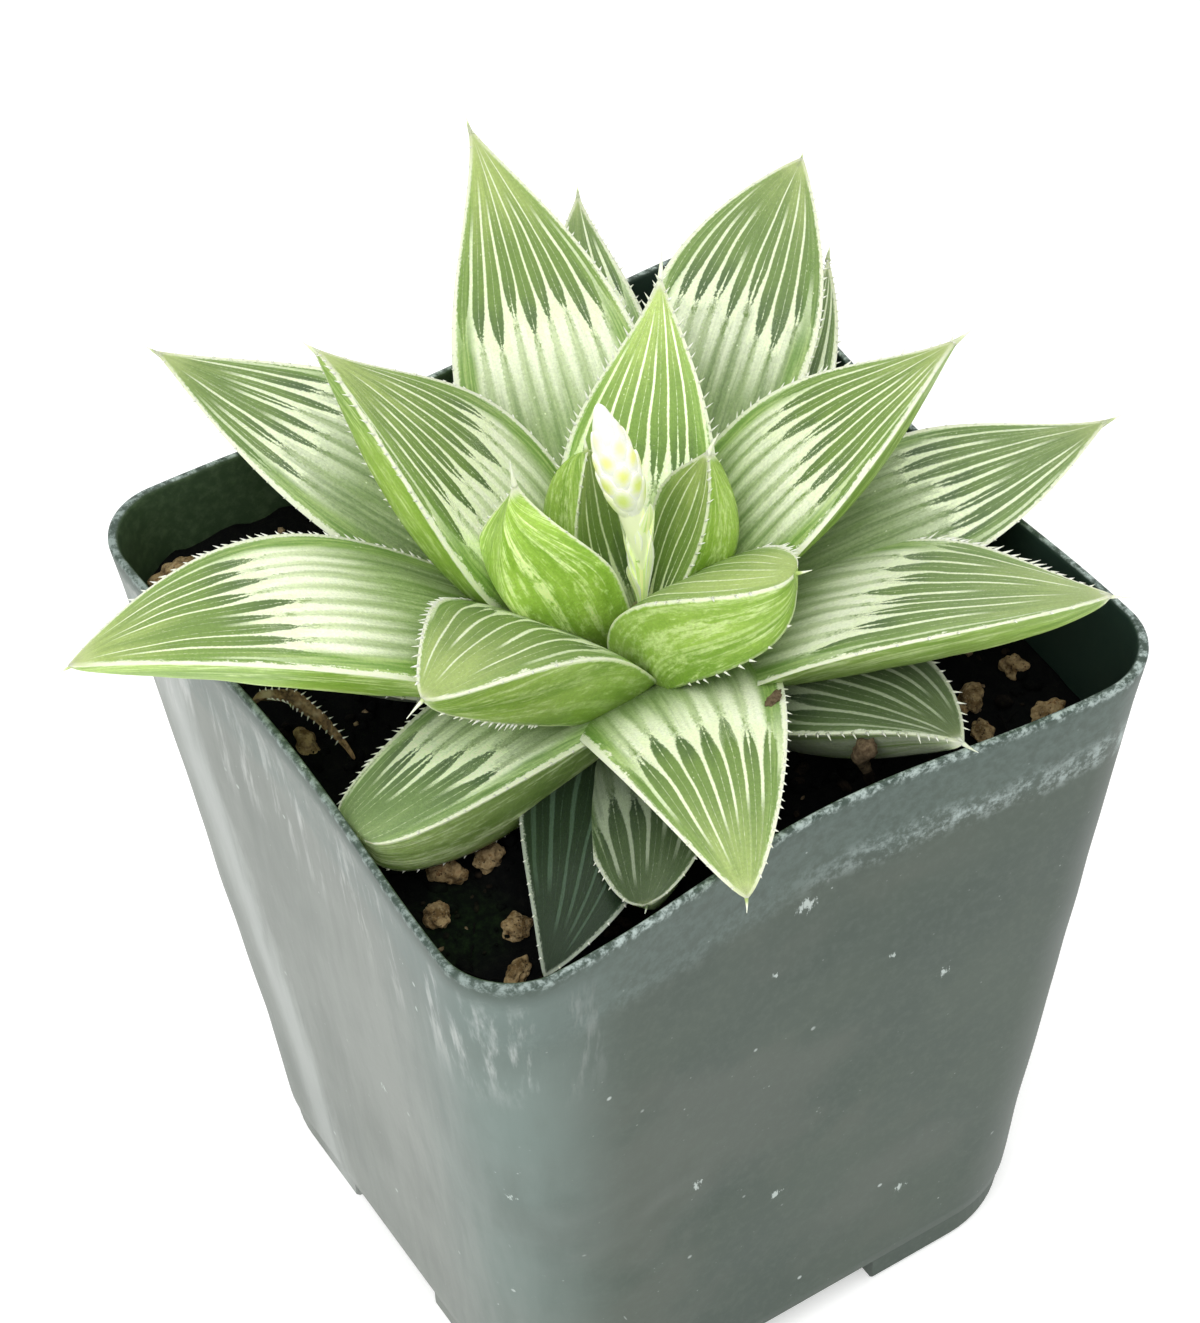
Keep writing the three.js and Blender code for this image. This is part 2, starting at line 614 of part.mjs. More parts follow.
const stones = PUMICE.map((row, index) => makePumice(row, index));
const pockets = PUMICE.map((row, index) => makePumice(row, index, GAP));
PUMICE.forEach((row, index) => addPiece(row[0], stones[index], 0xb08f63, 0.9));
addPiece('soil', largest(makeSoil().subtract(union([...pockets, makeStem(GAP)]))), 0x15130f, 1);
addPiece('dry_leaf', makeDryLeaf(), 0x8a6a3c, 0.8);

export default group;
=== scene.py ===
"""Potted haworthia: a lined, toothed rosette with a flower bud, in dark soil in a thin square nursery pot.

Lengths are written in millimetres and scaled by MM when a piece is finished.
"""

import math
import random
from collections import namedtuple

import bmesh
import bpy
from mathutils import Matrix, Quaternion, Vector, noise


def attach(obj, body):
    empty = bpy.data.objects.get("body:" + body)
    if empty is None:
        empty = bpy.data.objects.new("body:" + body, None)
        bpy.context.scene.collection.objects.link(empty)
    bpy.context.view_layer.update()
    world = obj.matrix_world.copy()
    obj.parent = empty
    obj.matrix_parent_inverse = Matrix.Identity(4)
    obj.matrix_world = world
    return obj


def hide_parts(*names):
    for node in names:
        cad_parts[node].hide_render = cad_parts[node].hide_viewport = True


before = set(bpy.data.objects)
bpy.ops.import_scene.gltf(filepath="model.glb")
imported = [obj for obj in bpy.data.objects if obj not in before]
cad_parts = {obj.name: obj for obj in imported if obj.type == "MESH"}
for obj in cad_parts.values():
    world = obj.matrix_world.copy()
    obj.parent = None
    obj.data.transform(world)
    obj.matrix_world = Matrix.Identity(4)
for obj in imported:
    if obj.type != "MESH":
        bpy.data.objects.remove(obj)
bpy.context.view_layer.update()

MM = 0.001

# ---------------------------------------------------------------- measures

POT_HEIGHT = 97.5
POT_TOP_HALF = 44.5
POT_TOP_CORNER = 8.5
POT_BOTTOM_HALF = 38
POT_BOTTOM_CORNER = 16
POT_WALL = 1.0
POT_FLOOR = 1.4
FOOT_HEIGHT = 4.3
FOOT_INSET = 0.6
FOOT_REACH = 28
PAD_RADIUS = 8
DRAIN_RADIUS = 4
DRAIN_AT = 22
RIM_SAG = (1.7, 1.65, 1.45, 3.0)  # how far the rim bows inward on the +X, +Y, -X and -Y sides
CLEARANCE = 0.3

SOIL_LEVEL = 84.5
SOIL_SLOPE = (-0.04, 0.06)
SOIL_DIP = 5.0
SOIL_DIP_RADIUS = 11.0

STEM = Vector((2.5, -0.5, 0))
STEM_BOTTOM, STEM_TOP = 74.0, 91.0
STEM_BOTTOM_RADIUS, STEM_TOP_RADIUS = 6.5, 3.2

# Where the leaves of a whorl leave the stem, and how far their faces swell in the middle.
Whorl = namedtuple("Whorl", "radius height swell")
WHORLS = {
    "heart": Whorl(1.5, 91, -0.5),
    "inner": Whorl(2.5, 89.5, 0.6),
    "middle": Whorl(4, 88, 0.8),
    "outer": Whorl(4, 86.5, 0.8),
    "lowest": Whorl(3, 85.5, 0.8),
}

# A leaf's form. Angles are degrees: azimuth from +X, curl at the tip, sway and arch at mid-length,
# rise at the base and the tip, roll at the base and twist to the tip. Keel is a share of the half width.
Leaf = namedtuple("Leaf", "whorl azimuth curl sway rise tip_rise arch length roll twist width widest base "
                          "taper depth keel")

# A leaf's finish: lines across it, share of its length where the flame ends and the window begins,
# strength of the pale flame, tone from fresh (0) to grey (1), shade, which darkens above 0 and lightens
# below it, partly for the leaf's own darker colour and partly as painted shade and painted light, side of
# the margin that carries a cream rail (0 for none), tooth lengths on the + margin, the - margin and the
# keel, and length of the bristle at its tip.
Look = namedtuple("Look", "lines start flame tone shade rail teeth_plus teeth_minus teeth_keel bristle")

LEAF_ROWS = (
    # Leaves 1 and 2, the heart.
    (("heart", 102, -2, -7, 62, 80, 4, 21.5, 16, 12, 12, 0.43, 0.7, 0.65, 6, 0.5),
     (4, 0.1, 0.2, 0.05, 0.1, 0, 0.5, 0.3, 0, 1.5)),
    (("heart", -3, 12, -11, 84, 63, -5, 23, -6, 3, 12.5, 0.5, 0.57, 1.1, 6, -0.65),
     (5, 0.05, 0.2, 0.0, 0.05, 0, 0.3, 0.75, 0, 1.8)),
    # Leaves 3 to 5.
    (("inner", 165, -12, 11, 49, 84, 3, 30.5, 36, 14, 16.5, 0.53, 0.6, 1.5, 6.5, -0.2),
     (6, 0.4, 0.4, 0, -0.3, 1, 0.1, 0.6, 0, 2.4)),
    (("inner", 65, -9, -20, 58, 40, 4, 39, -6, -6, 19, 0.36, 0.6, 1.3, 5, 0),
     (7, 0.36, 0.45, 0.05, -0.5, 0, 0.9, 0.9, 0, 2.2)),
    (("inner", -61, 21, -26, 83, 14, -2.5, 30, 7, -28, 20, 0.26, 0.8, 0.35, 10, -0.8),
     (6, 0.15, 0.2, 0.15, -0.05, -1, 0.9, 0.7, 0.6, 1.2)),
    # Leaves 6 to 8.
    (("middle", 188, 9, 21, 44, -10, 26, 45, 1, -5, 23, 0.25, 0.45, 0.66, 9, 0.58),
     (7, 0.42, 0.45, 0.2, 0.05, 1, 0.2, 0.75, 0.75, 2.2)),
    (("middle", 122, -12, 14, 45, 8, 26, 48.5, -12, 30, 25.5, 0.44, 0.45, 1.35, 6, 0.65),
     (11, 0.5, 0.85, 0.05, 0.05, 1, 0.7, 0.3, 0.6, 0.8)),
    (("middle", 7.5, -2, -24, 54, 10, 9, 48, 4.5, -6, 22.5, 0.43, 0.6, 1.35, 5.7, -0.5),
     (10, 0.52, 0.6, 0.1, 0.02, -1, 0.85, 0.15, 0, 1)),
    # Leaves 9 to 16.
    (("outer", 250, -2, 1, 37, -23, 12.5, 50.5, 9, -4, 24, 0.2, 0.6, 0.74, 4.5, 0),
     (8, 0.54, 0.8, 0.25, -0.05, -1, 0.5, 0.1, 0, 0.9)),
    (("outer", 79, 0, -6.5, 32, 16, 0, 67.5, -3.5, -1, 23.5, 0.4, 0.6, 1.25, 5, 0),
     (10, 0.56, 0.85, 0.1, 0.04, 0, 0.15, 0.55, 0, 0.8)),
    (("outer", 41, -9, -1, 34, 12, 2, 62, 7, 3, 20.5, 0.58, 0.6, 0.9, 5, 0),
     (10, 0.61, 0.5, 0.35, 0, 0, 0.25, 0.5, 0, 0.7)),
    (("outer", -42, 18, -22, 27, -15, 26, 56, 5, -27, 28, 0.4, 0.5, 0.85, 7, -0.15),
     (10, 0.5, 0.9, 0.4, -0.05, -1, 1.1, 0.3, 0, 1.6)),
    (("outer", 167, -5, 7, 33, -25, 26, 68.5, 0, 8, 28, 0.48, 0.35, 0.92, 7, 0.45),
     (11, 0.66, 1.2, 0.1, -0.1, 1, 0, 0.7, 0, 0.8)),
    (("outer", 111.5, 0, 13, 33, 4, 2, 63.5, -13, -3, 22.5, 0.42, 0.6, 1.15, 5, 0.4),
     (10, 0.66, 0.35, 0.3, 0.04, 0, 0.15, 0.4, 0, 0.8)),
    (("outer", -7, 5, -17, 28, 6, 3.5, 56, 2, 0, 22, 0.54, 0.6, 1.25, 5, 0),
     (10, 0.6, 0.15, 0.5, -0.05, 0, 0.2, 0.2, 0, 0.8)),
    (("outer", 199, -8, 1, 29, -3, -2, 44.5, 8, 9, 21.5, 0.2, 0.6, 0.3, 9, 0.5),
     (7, 0.64, 0.5, 0.7, -0.5, 0, 0.1, 0.75, 0.3, 2)),
    # Leaves 17 to 24; the last three are out of the photo's sight.
    (("lowest", 235, -8, 9, 18, 1, 5.5, 45, 9, 18, 18.5, 0.43, 0.6, 0.48, 5, 0),
     (7, 0.62, 0.5, 0.85, 0.62, 0, 0.25, 0.35, 0, 0.8)),
    (("lowest", -68, -25, 6, 24, 9, 3, 44.5, 1.5, -5, 20, 0.49, 0.6, 1, 6.5, -0.5),
     (8, 0.46, 0.7, 0.8, 0.45, -1, 0.8, 1.2, 0, 1.6)),
    (("lowest", 61, -4, 6, 26, -4, 5.5, 64.5, -2, 0, 15, 0.48, 0.6, 1.25, 4.5, 0),
     (7, 0.66, 0.9, 0.5, -0.3, 0, 0.5, 0.5, 0, 0.8)),
    (("lowest", 32, 25, -10.5, 26, -5, 6.5, 58, 2, 2, 14, 0.4, 0.6, 1.45, 4, 0),
     (7, 0.6, 0.3, 0.6, -0.1, 0, 0.5, 0.5, 0, 0.8)),
    (("lowest", 224, -10, 9, 13, -5, 4, 51, 2, 0, 19, 0.35, 0.6, 0.83, 3, 0),
     (8, 0.3, 0.1, 1.0, 1.0, 0, 0.15, 0.15, 0, 0.6)),
    (("lowest", 162, 0, 0, 18, 1, 3, 35, 0, 0, 15, 0.45, 0.6, 0.8, 4, 0.3),
     (8, 0.55, 0.6, 0.95, 0.5, 0, 0.4, 0.4, 0, 0.8)),
    (("lowest", 98, 0, 0, 22, 4, 4, 39.5, 0, 0, 16, 0.45, 0.6, 1, 4.5, 0),
     (7, 0.55, 0.4, 0.9, 0.5, 0, 0.4, 0.4, 0, 0.8)),
    (("lowest", 2, 0, 0, 22, 2, 4, 36.5, 0, 0, 16, 0.45, 0.6, 1, 4.5, 0),
     (7, 0.55, 0.4, 0.9, 0.5, 0, 0.4, 0.4, 0, 0.8)),
)
LEAVES = [(Leaf(*form), Look(*finish)) for form, finish in LEAF_ROWS]
LEAF_SIDES = 72
LEAF_RINGS = 96
TOOTH_SPACING = 1.15
TOOTH_RADIUS = 0.22

# Loose pumice: x, y, rise above the soil, half sizes, turn.
PUMICE = (
    (-37, 37.5, 1.2, 3, 2, 1.6, 0.3),
    (-39, 32.5, 0.6, 1.6, 1.4, 1.1, 1.0),
    (-32.9, -16.7, 0.7, 2, 1.3, 1.4, 2.2),
    (-27.8, -16.9, 0.6, 1.8, 1.4, 1.1, 0.4),
    (-36.9, -21.3, 0.4, 1.9, 1.5, 1.3, 1.2),
    (-30.2, -26.4, 0.5, 1.7, 1.4, 1.1, 0.2),
    (-33.4, -32, 0.4, 1.9, 1.2, 1.1, 0.7),
    (31, -25, 0.6, 1.8, 1.5, 1.2, 0.5),
    (29, -30, 0.5, 1.7, 1.2, 1, 1.6),
    (37, -31.5, 0.6, 2.2, 1.5, 1.2, 0.2),
    (38, -24, 0.4, 1.5, 1.3, 1.1, 2),
    (-36.4, 8, 0.2, 1.2, 1.9, 0.9, 0.1),
)

# ---------------------------------------------------------------- small helpers


def smooth(low, high, value):
    """0 below low, 1 above high, and a smooth rise between them."""
    t = min(1.0, max(0.0, (value - low) / (high - low)))
    return t * t * (3 - 2 * t)


def lerp(a, b, t):
    return a + (b - a) * t


def rough(point, size):
    """Smooth noise from about -1 to 1 whose lumps are about size across."""
    return noise.noise(Vector(point) / size)


def into_mesh(bm, name, size=1.0):
    """Ends a bmesh as a mesh, scaled by size."""
    bmesh.ops.scale(bm, vec=(size, size, size), verts=bm.verts)
    mesh = bpy.data.meshes.new(name)
    bm.to_mesh(mesh)
    bm.free()
    return mesh


def into_scene(name, data):
    made = bpy.data.objects.new(name, data)
    bpy.context.collection.objects.link(made)
    return made


def finish_piece(name, bm, materials, nodes=(), flat=False):
    """Makes the object, in metres, with its body, its finish and the nodes that it stands for."""
    mesh = into_mesh(bm, name, MM)
    for material in materials:
        mesh.materials.append(material)
    if not flat:
        mesh.polygons.foreach_set("use_smooth", [True] * len(mesh.polygons))
    piece = into_scene(name, mesh)
    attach(piece, "root")
    if nodes:
        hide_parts(*nodes)
    return piece


def spun(profile, steps):
    """A closed shell of revolution about Z. The profile runs from the axis back to the axis."""
    bm = bmesh.new()
    verts = [bm.verts.new((radius, 0, z)) for radius, z in profile]
    edges = [bm.edges.new(pair) for pair in zip(verts, verts[1:])]
    bmesh.ops.spin(bm, geom=verts + edges, cent=(0, 0, 0), axis=(0, 0, 1), angle=2 * math.pi,
                   steps=steps, use_merge=True)
    bmesh.ops.remove_doubles(bm, verts=bm.verts, dist=1e-5)
    bmesh.ops.recalc_face_normals(bm, faces=bm.faces)
    return bm


def pillar(sides, rings):
    """A unit cylinder cut into rings along Z from -0.5 to 0.5."""
    bm = bmesh.new()
    bmesh.ops.create_cone(bm, cap_ends=True, segments=sides, radius1=1, radius2=1, depth=1)
    uprights = [e for e in bm.edges if abs(e.verts[0].co.z - e.verts[1].co.z) > 0.5]
    bmesh.ops.subdivide_edges(bm, edges=uprights, cuts=rings - 1, use_grid_fill=True)
    return bm


def tube(route, radii, sides=8, material=0):
    """A closed tube along points, with a radius at each of them."""
    last = len(route) - 1
    bm = pillar(sides, last)
    for vert in bm.verts:
        index = round((vert.co.z + 0.5) * last)
        ahead = (route[min(index + 1, last)] - route[max(index - 1, 0)]).normalized()
        side = (ahead.orthogonal() if abs(ahead.z) > 0.98 else ahead.cross(Vector((0, 0, 1)))).normalized()
        over = ahead.cross(side)
        vert.co = route[index] + (side * vert.co.x + over * vert.co.y) * radii[index]
    for face in bm.faces:
        face.material_index = material
    return bm


def mark(bm, name, value):
    """Gives every vertex one value of an attribute, a number or a triple."""
    layers = bm.verts.layers.float if isinstance(value, float) else bm.verts.layers.float_vector
    layer = layers.get(name) or layers.new(name)
    for vert in bm.verts:
        vert[layer] = value


def face_outward(bm):
    """Turns the faces of one closed form outward."""
    bmesh.ops.recalc_face_normals(bm, faces=bm.faces)
    if bm.calc_volume(signed=True) < 0:
        bmesh.ops.reverse_faces(bm, faces=bm.faces)


def join(bm, part):
    """Adds one closed form to a mesh."""
    face_outward(part)
    mesh = into_mesh(part, "joined")
    bm.from_mesh(mesh)
    bpy.data.meshes.remove(mesh)


def along_curve(points, count):
    """Evenly stepped points on a smooth curve through the given points."""
    found = []
    spans = len(points) - 1
    for i in range(count):
        place = i / (count - 1) * spans
        k = min(int(place), spans - 1)
        t = place - k
        before = points[max(k - 1, 0)]
        a, b = points[k], points[k + 1]
        after = points[min(k + 2, spans)]
        found.append(0.5 * ((2 * a) + (b - before) * t + (2 * before - 5 * a + 4 * b - after) * t * t
                            + (3 * a - before - 3 * b + after) * t ** 3))
    return found


class Value:
    """A number or colour that varies over a surface. A sum with it adds a node to its finish."""

    def __init__(self, finish, socket):
        self.finish, self.socket = finish, socket

    def __add__(self, other):
        return self.finish.math("ADD", self, other)

    def __radd__(self, other):
        return self.finish.math("ADD", other, self)

    def __sub__(self, other):
        return self.finish.math("SUBTRACT", self, other)

    def __rsub__(self, other):
        return self.finish.math("SUBTRACT", other, self)

    def __mul__(self, other):
        return self.finish.math("MULTIPLY", self, other)

    def __truediv__(self, other):
        return self.finish.math("DIVIDE", self, other)

    def __pow__(self, other):
        return self.finish.math("POWER", self, other)

    def __neg__(self):
        return self * -1

    def __abs__(self):
        return self.finish.math("ABSOLUTE", self)

    def clamped(self):
        """Held between 0 and 1."""
        self.socket.node.use_clamp = True
        return self


class Finish:
    """A material and short calls for its nodes, which take numbers, colours and varying values."""

    def __init__(self, name):
        self.material = bpy.data.materials.new(name)
        self.material.use_nodes = True
        self.tree = self.material.node_tree
        self.shader = self.tree.nodes["Principled BSDF"]

    def put(self, sockets, values):
        """Links or sets sockets, by name or number."""
        for key, value in values.items():
            socket = sockets[key]
            if isinstance(value, Value):
                self.tree.links.new(value.socket, socket)
            elif isinstance(value, tuple) and socket.type == "RGBA":
                socket.default_value = (*value, 1)
            else:
                socket.default_value = value

    def node(self, kind, values, output=0, **settings):
        """Adds a node and gives one of its outputs."""
        made = self.tree.nodes.new(kind)
        for key, value in settings.items():
            setattr(made, key, value)
        self.put(made.inputs, values)
        return Value(self, made.outputs[output])

    def math(self, operation, a, b=0):
        return self.node("ShaderNodeMath", {0: a, 1: b}, operation=operation)

    def most(self, a, b):
        return self.math("MAXIMUM", a, b)

    def least(self, a, b):
        return self.math("MINIMUM", a, b)

    def floor(self, value):
        return self.math("FLOOR", value)

    def root(self, value):
        return self.math("SQRT", value)

    def rise(self, value, low, high, out_low=0, out_high=1, kind="SMOOTHSTEP"):
        """Smooth step of a value from low to high."""
        values = {"Value": value, "From Min": low, "From Max": high, "To Min": out_low, "To Max": out_high}
        return self.node("ShaderNodeMapRange", values, interpolation_type=kind)

    def ramp(self, *given):
        """Straight rise of a value from low to high."""
        return self.rise(*given, kind="LINEAR")

    def shade_leaf(self, colour, shade, darkest):
        """Darkens a leaf's colour where its shade is above 0 and lightens it below 0, as painted shade and
        painted light over its own tone, and adds a fine grain.
        """
        grain = self.noise(self.object_place(), 0.32, 3, 0.7)
        colour = self.mix(1, colour, self.ramp(grain, 0.25, 0.75, 0.84, 1.16), "MULTIPLY")
        colour = self.mix(1, colour, self.ramp(shade, -1, 0, 1.7, 1), "MULTIPLY")
        return self.mix(shade, colour, self.mix(1, colour, darkest, "MULTIPLY"))

    def mix(self, share, a, b, blend="MIX"):
        return self.node("ShaderNodeMix", {0: share, 6: a, 7: b}, 2, data_type="RGBA", blend_type=blend,
                         clamp_factor=True)

    def noise(self, place, size, detail=2, roughness=0.5):
        values = {"Vector": place, "Scale": 1 / size, "Detail": detail, "Roughness": roughness}
        return self.node("ShaderNodeTexNoise", values, "Fac")

    def streaks(self, x, y, z, detail=2, roughness=0.5):
        """Noise of unit size, drawn out along the values that are scaled least."""
        return self.noise(self.join(x, y, z), 1, detail, roughness)

    def cells(self, place, size):
        """Distance from the middle of the nearest cell."""
        return self.node("ShaderNodeTexVoronoi", {"Vector": place, "Scale": 1 / size}, "Distance")

    def dice(self, value):
        """A random share for each whole number."""
        return self.node("ShaderNodeTexWhiteNoise", {"W": value}, "Value", noise_dimensions="1D")

    def split(self, vector):
        made = self.node("ShaderNodeSeparateXYZ", {0: vector}).socket.node
        return [Value(self, output) for output in made.outputs]

    def join(self, x, y, z):
        return self.node("ShaderNodeCombineXYZ", {0: x, 1: y, 2: z})

    def attribute(self, name, output="Vector"):
        return self.node("ShaderNodeAttribute", {}, output, attribute_name=name)

    def object_place(self):
        """Object coordinates in millimetres."""
        place = self.node("ShaderNodeTexCoord", {}, "Object")
        return self.node("ShaderNodeVectorMath", {0: place, 1: (1 / MM,) * 3}, operation="MULTIPLY")

    def distance(self, place, spot):
        return self.node("ShaderNodeVectorMath", {0: place, 1: spot}, "Value", operation="DISTANCE")

    def bump(self, height, depth, strength=1):
        relief = self.node("ShaderNodeBump", {"Height": height, "Distance": depth * MM, "Strength": strength})
        self.put(self.shader.inputs, {"Normal": relief})

    def glow(self, colour, strength):
        self.put(self.shader.inputs, {"Emission Color": colour, "Emission Strength": strength})

    def shade(self, colour, roughness, specular=0.5, flesh=0, flesh_depth=(1, 1, 0.6)):
        self.put(self.shader.inputs, {"Base Color": colour, "Roughness": roughness,
                                      "Specular IOR Level": specular})
        if flesh:
            self.put(self.shader.inputs, {"Subsurface Weight": flesh, "Subsurface Radius": flesh_depth,
                                          "Subsurface Scale": MM})
        return self.material


# ---------------------------------------------------------------- finishes

FLOOR_GLOW = 0.4  # lifts the floor to the clean white of the photo's lit sweep
BUD_GLOW = 0.12  # light that comes through the thin petals
STALK_GLOW = 0.22  # and through the thinner bracts


def leaf_face_finish():
    """The lined window at a leaf's tip, the pale flame that its lines open into, and the green belts."""
    f = Finish("leaf_face")
    across, along, edge = f.split(f.attribute("blade"))
    count, reach, seed = f.split(f.attribute("lines"))
    flame, tone, shade = f.split(f.attribute("look"))
    rail_gap = f.split(f.attribute("ridge"))[0]
    pitch = f.attribute("pitch", "Fac")
    spine = f.attribute("spine", "Fac")

    # Lines lie at whole numbers of the bent count, and a dark wedge fills each gap between two of them.
    slow = f.streaks(count * 0.35, reach * 0.045, seed)
    bent = count + (slow - 0.5) * 0.8
    gap = f.floor(bent)
    line_index = f.floor(bent + 0.5)
    off_line = abs(bent - line_index) * 2
    gap_luck = f.dice(gap + seed * 29)
    line_luck = f.dice(line_index + seed * 13)

    ragged = f.streaks(count * 2.6, reach * 0.5, seed, 4, 0.7)
    beads = f.streaks(count * 7, reach * 2.6, seed, 3, 0.75)
    streak = f.streaks(across * 17, along * 2, seed, 4, 0.62)
    broad = f.streaks(across * 5, along * 2.5, seed + 4, 2)
    speckle = f.streaks(across * 34, along * 70, seed, 3, 0.75)
    past_end = reach - (gap_luck - 0.5) * 4.5 - (ragged - 0.5) * 3
    flare = f.ramp(past_end, 6, -0.8) ** 1.9
    into_flame = f.rise(past_end, 0, -9)
    rough_off = off_line + (beads - 0.5) * (0.22 + flare * 0.75)
    thickness = (0.24 + line_luck * 0.24) * f.rise(past_end, 22, 3, 0.65, 1)
    thickness = thickness * (0.85 + tone * 0.75)
    fine_half = f.least(thickness / f.most(pitch, 0.6), 0.36)
    opening = f.ramp(flame, 0.1, 0.95, 0.5, 1.05)
    line = f.rise(fine_half + flare * opening - rough_off, -0.07, 0.07)
    line_end = 1 - line_luck * 0.24
    line = line * f.rise(along, line_end, line_end - 0.08)
    soft = 0.08 + into_flame * 0.3
    comb = f.rise(0.66 - into_flame * 0.2 - rough_off, -soft, soft)
    second_reach = f.most((gap_luck - 0.6) * 22, 0.05)
    second_half = f.rise(past_end, second_reach, 0) * 0.15
    second = f.rise(1 - rough_off - second_half, 0.05, -0.05)
    second = second * f.rise(past_end, -1, 0.5)

    # Window: dark and bluish beside the flame, then fresh green, then yellower toward the tip.
    mottle = f.streaks(across * 5, along * 9, seed, 3)
    drift = past_end + (mottle - 0.5) * 10
    deep = f.mix(tone, (0.095, 0.165, 0.046), (0.066, 0.098, 0.062))
    fresh = f.mix(tone, (0.185, 0.3, 0.056), (0.14, 0.195, 0.1))
    light = f.mix(tone, (0.45, 0.585, 0.16), (0.3, 0.37, 0.2))
    window = f.mix(f.rise(drift, 0, 8), deep, fresh)
    window = f.mix(f.rise(drift, 9, 25) * (1.1 - tone * 0.8), window, light)
    line_colour = f.mix(tone, (0.88, 0.97, 0.64), (0.68, 0.75, 0.55))
    lined = f.mix(f.most(line, second), window, line_colour)

    # Flame: the lines go on as white streaks, over gaps whose specks pale and then turn green to the base.
    fade = -6 - flame * 9
    near = f.rise(reach + (broad - 0.5) * 10, fade, 1) * flame
    base_dark = f.mix(tone, (0.19, 0.3, 0.085), (0.155, 0.2, 0.112))
    base_light = f.mix(tone, (0.4, 0.52, 0.23), (0.275, 0.325, 0.21))
    base = f.mix(f.rise(streak + (speckle - 0.5) * 0.35, 0.34, 0.66), base_dark, base_light)
    greening = f.rise(broad, 0.46, 0.7) * (1 - near)
    base = f.mix(greening * 0.7, base, f.mix(tone, (0.2, 0.34, 0.06), (0.14, 0.195, 0.09)))
    milky = f.mix(tone, (0.72, 0.82, 0.5), (0.5, 0.56, 0.4))
    cream = f.mix(tone, (0.93, 0.98, 0.74), (0.7, 0.76, 0.6))
    pallor = (near * (1 + (streak - 0.5) * 1.5)).clamped()
    gap_colour = f.mix(pallor, base, milky)
    specks = f.rise(speckle + streak * 0.6 - past_end * 0.09, 0.7, 1)
    gap_colour = f.mix(1 - specks, gap_colour, fresh)
    whiteness = near ** 0.7
    whiteness = (whiteness * (1.15 + (streak - 0.5) * 1.4)).clamped()
    flamed = f.mix(comb, gap_colour, f.mix(whiteness, gap_colour, cream))
    face = f.mix(f.rise(past_end + (speckle - 0.5) * 2.5, -1.4, 0.3), flamed, lined)

    # A saturated belt inside each margin of the flame, and a lighter one beside the window.
    wide = abs(across)
    waver = (f.streaks(across, along * 7, seed, 3) - 0.5) * 0.14
    place = wide + waver
    belt_streak = f.streaks(across * 26, along * 6, seed, 3, 0.6)
    belt = f.mix(f.rise(belt_streak, 0.38, 0.7), f.mix(tone, (0.17, 0.33, 0.04), (0.12, 0.2, 0.07)),
                 f.mix(tone, (0.42, 0.58, 0.17), (0.3, 0.4, 0.19)))
    belt_share = f.rise(place, 0.7, 0.82) * f.rise(reach, 8, -3, 0.35, 0.95)
    face = f.mix(belt_share, face, belt)

    dots = f.rise(f.cells(f.join(across * 13, along * 55, seed), 1), 0.15, 0.05)
    face = f.mix(dots * f.rise(mottle, 0.5, 0.65, 0.1, 0.8), face, line_colour)
    # The leaf's shade: painted shade above 0 and painted light below 0, over its own tone.
    face = f.shade_leaf(face, shade, (0.08, 0.125, 0.105))

    # Cream edge, dulled by the leaf's painted shade, the broad rail on one margin, and the pale tip, which
    # the painted shade and a grey tone fade.
    edge_colour = f.mix(shade, (0.93, 0.97, 0.74), (0.4, 0.46, 0.36))
    rim_wide = 0.42 + f.rise(reach, 12, -6) * 0.3
    rim = f.rise(edge + (beads - 0.5) * 0.9 - rim_wide, 0.14, -0.14)
    face = f.mix(rim * 0.85, face, edge_colour)
    rail_wide = 0.34 + f.rise(reach, 16, -6) * 0.5 + (ragged - 0.5) * 2.6
    rail_wide = rail_wide + (beads - 0.5) * 1.4
    rail = f.rise(rail_gap - rail_wide, 0.16, -0.16) * f.rise(belt_streak, 0.3, 0.55, 0.35, 1)
    face = f.mix(rail * 0.95, face, edge_colour)
    tip = f.rise(along, 0.88, 0.99) * (1 - f.most(shade, tone))
    tip = tip * f.rise(pitch, 0.6, 0.25)
    face = f.mix(tip * 0.7, face, (0.66, 0.76, 0.34))
    face = f.mix(f.rise(along, spine, spine + 0.04), face, edge_colour)

    relief = line * 0.3 + (streak * 0.3 + beads * 0.5)
    f.bump(relief + speckle * 0.6, 0.14)
    gloss = 0.36 + f.noise(f.object_place(), 3, 3) * 0.16
    return f.shade(face, gloss, 0.42, flesh=0.2, flesh_depth=(0.9, 1.1, 0.4))


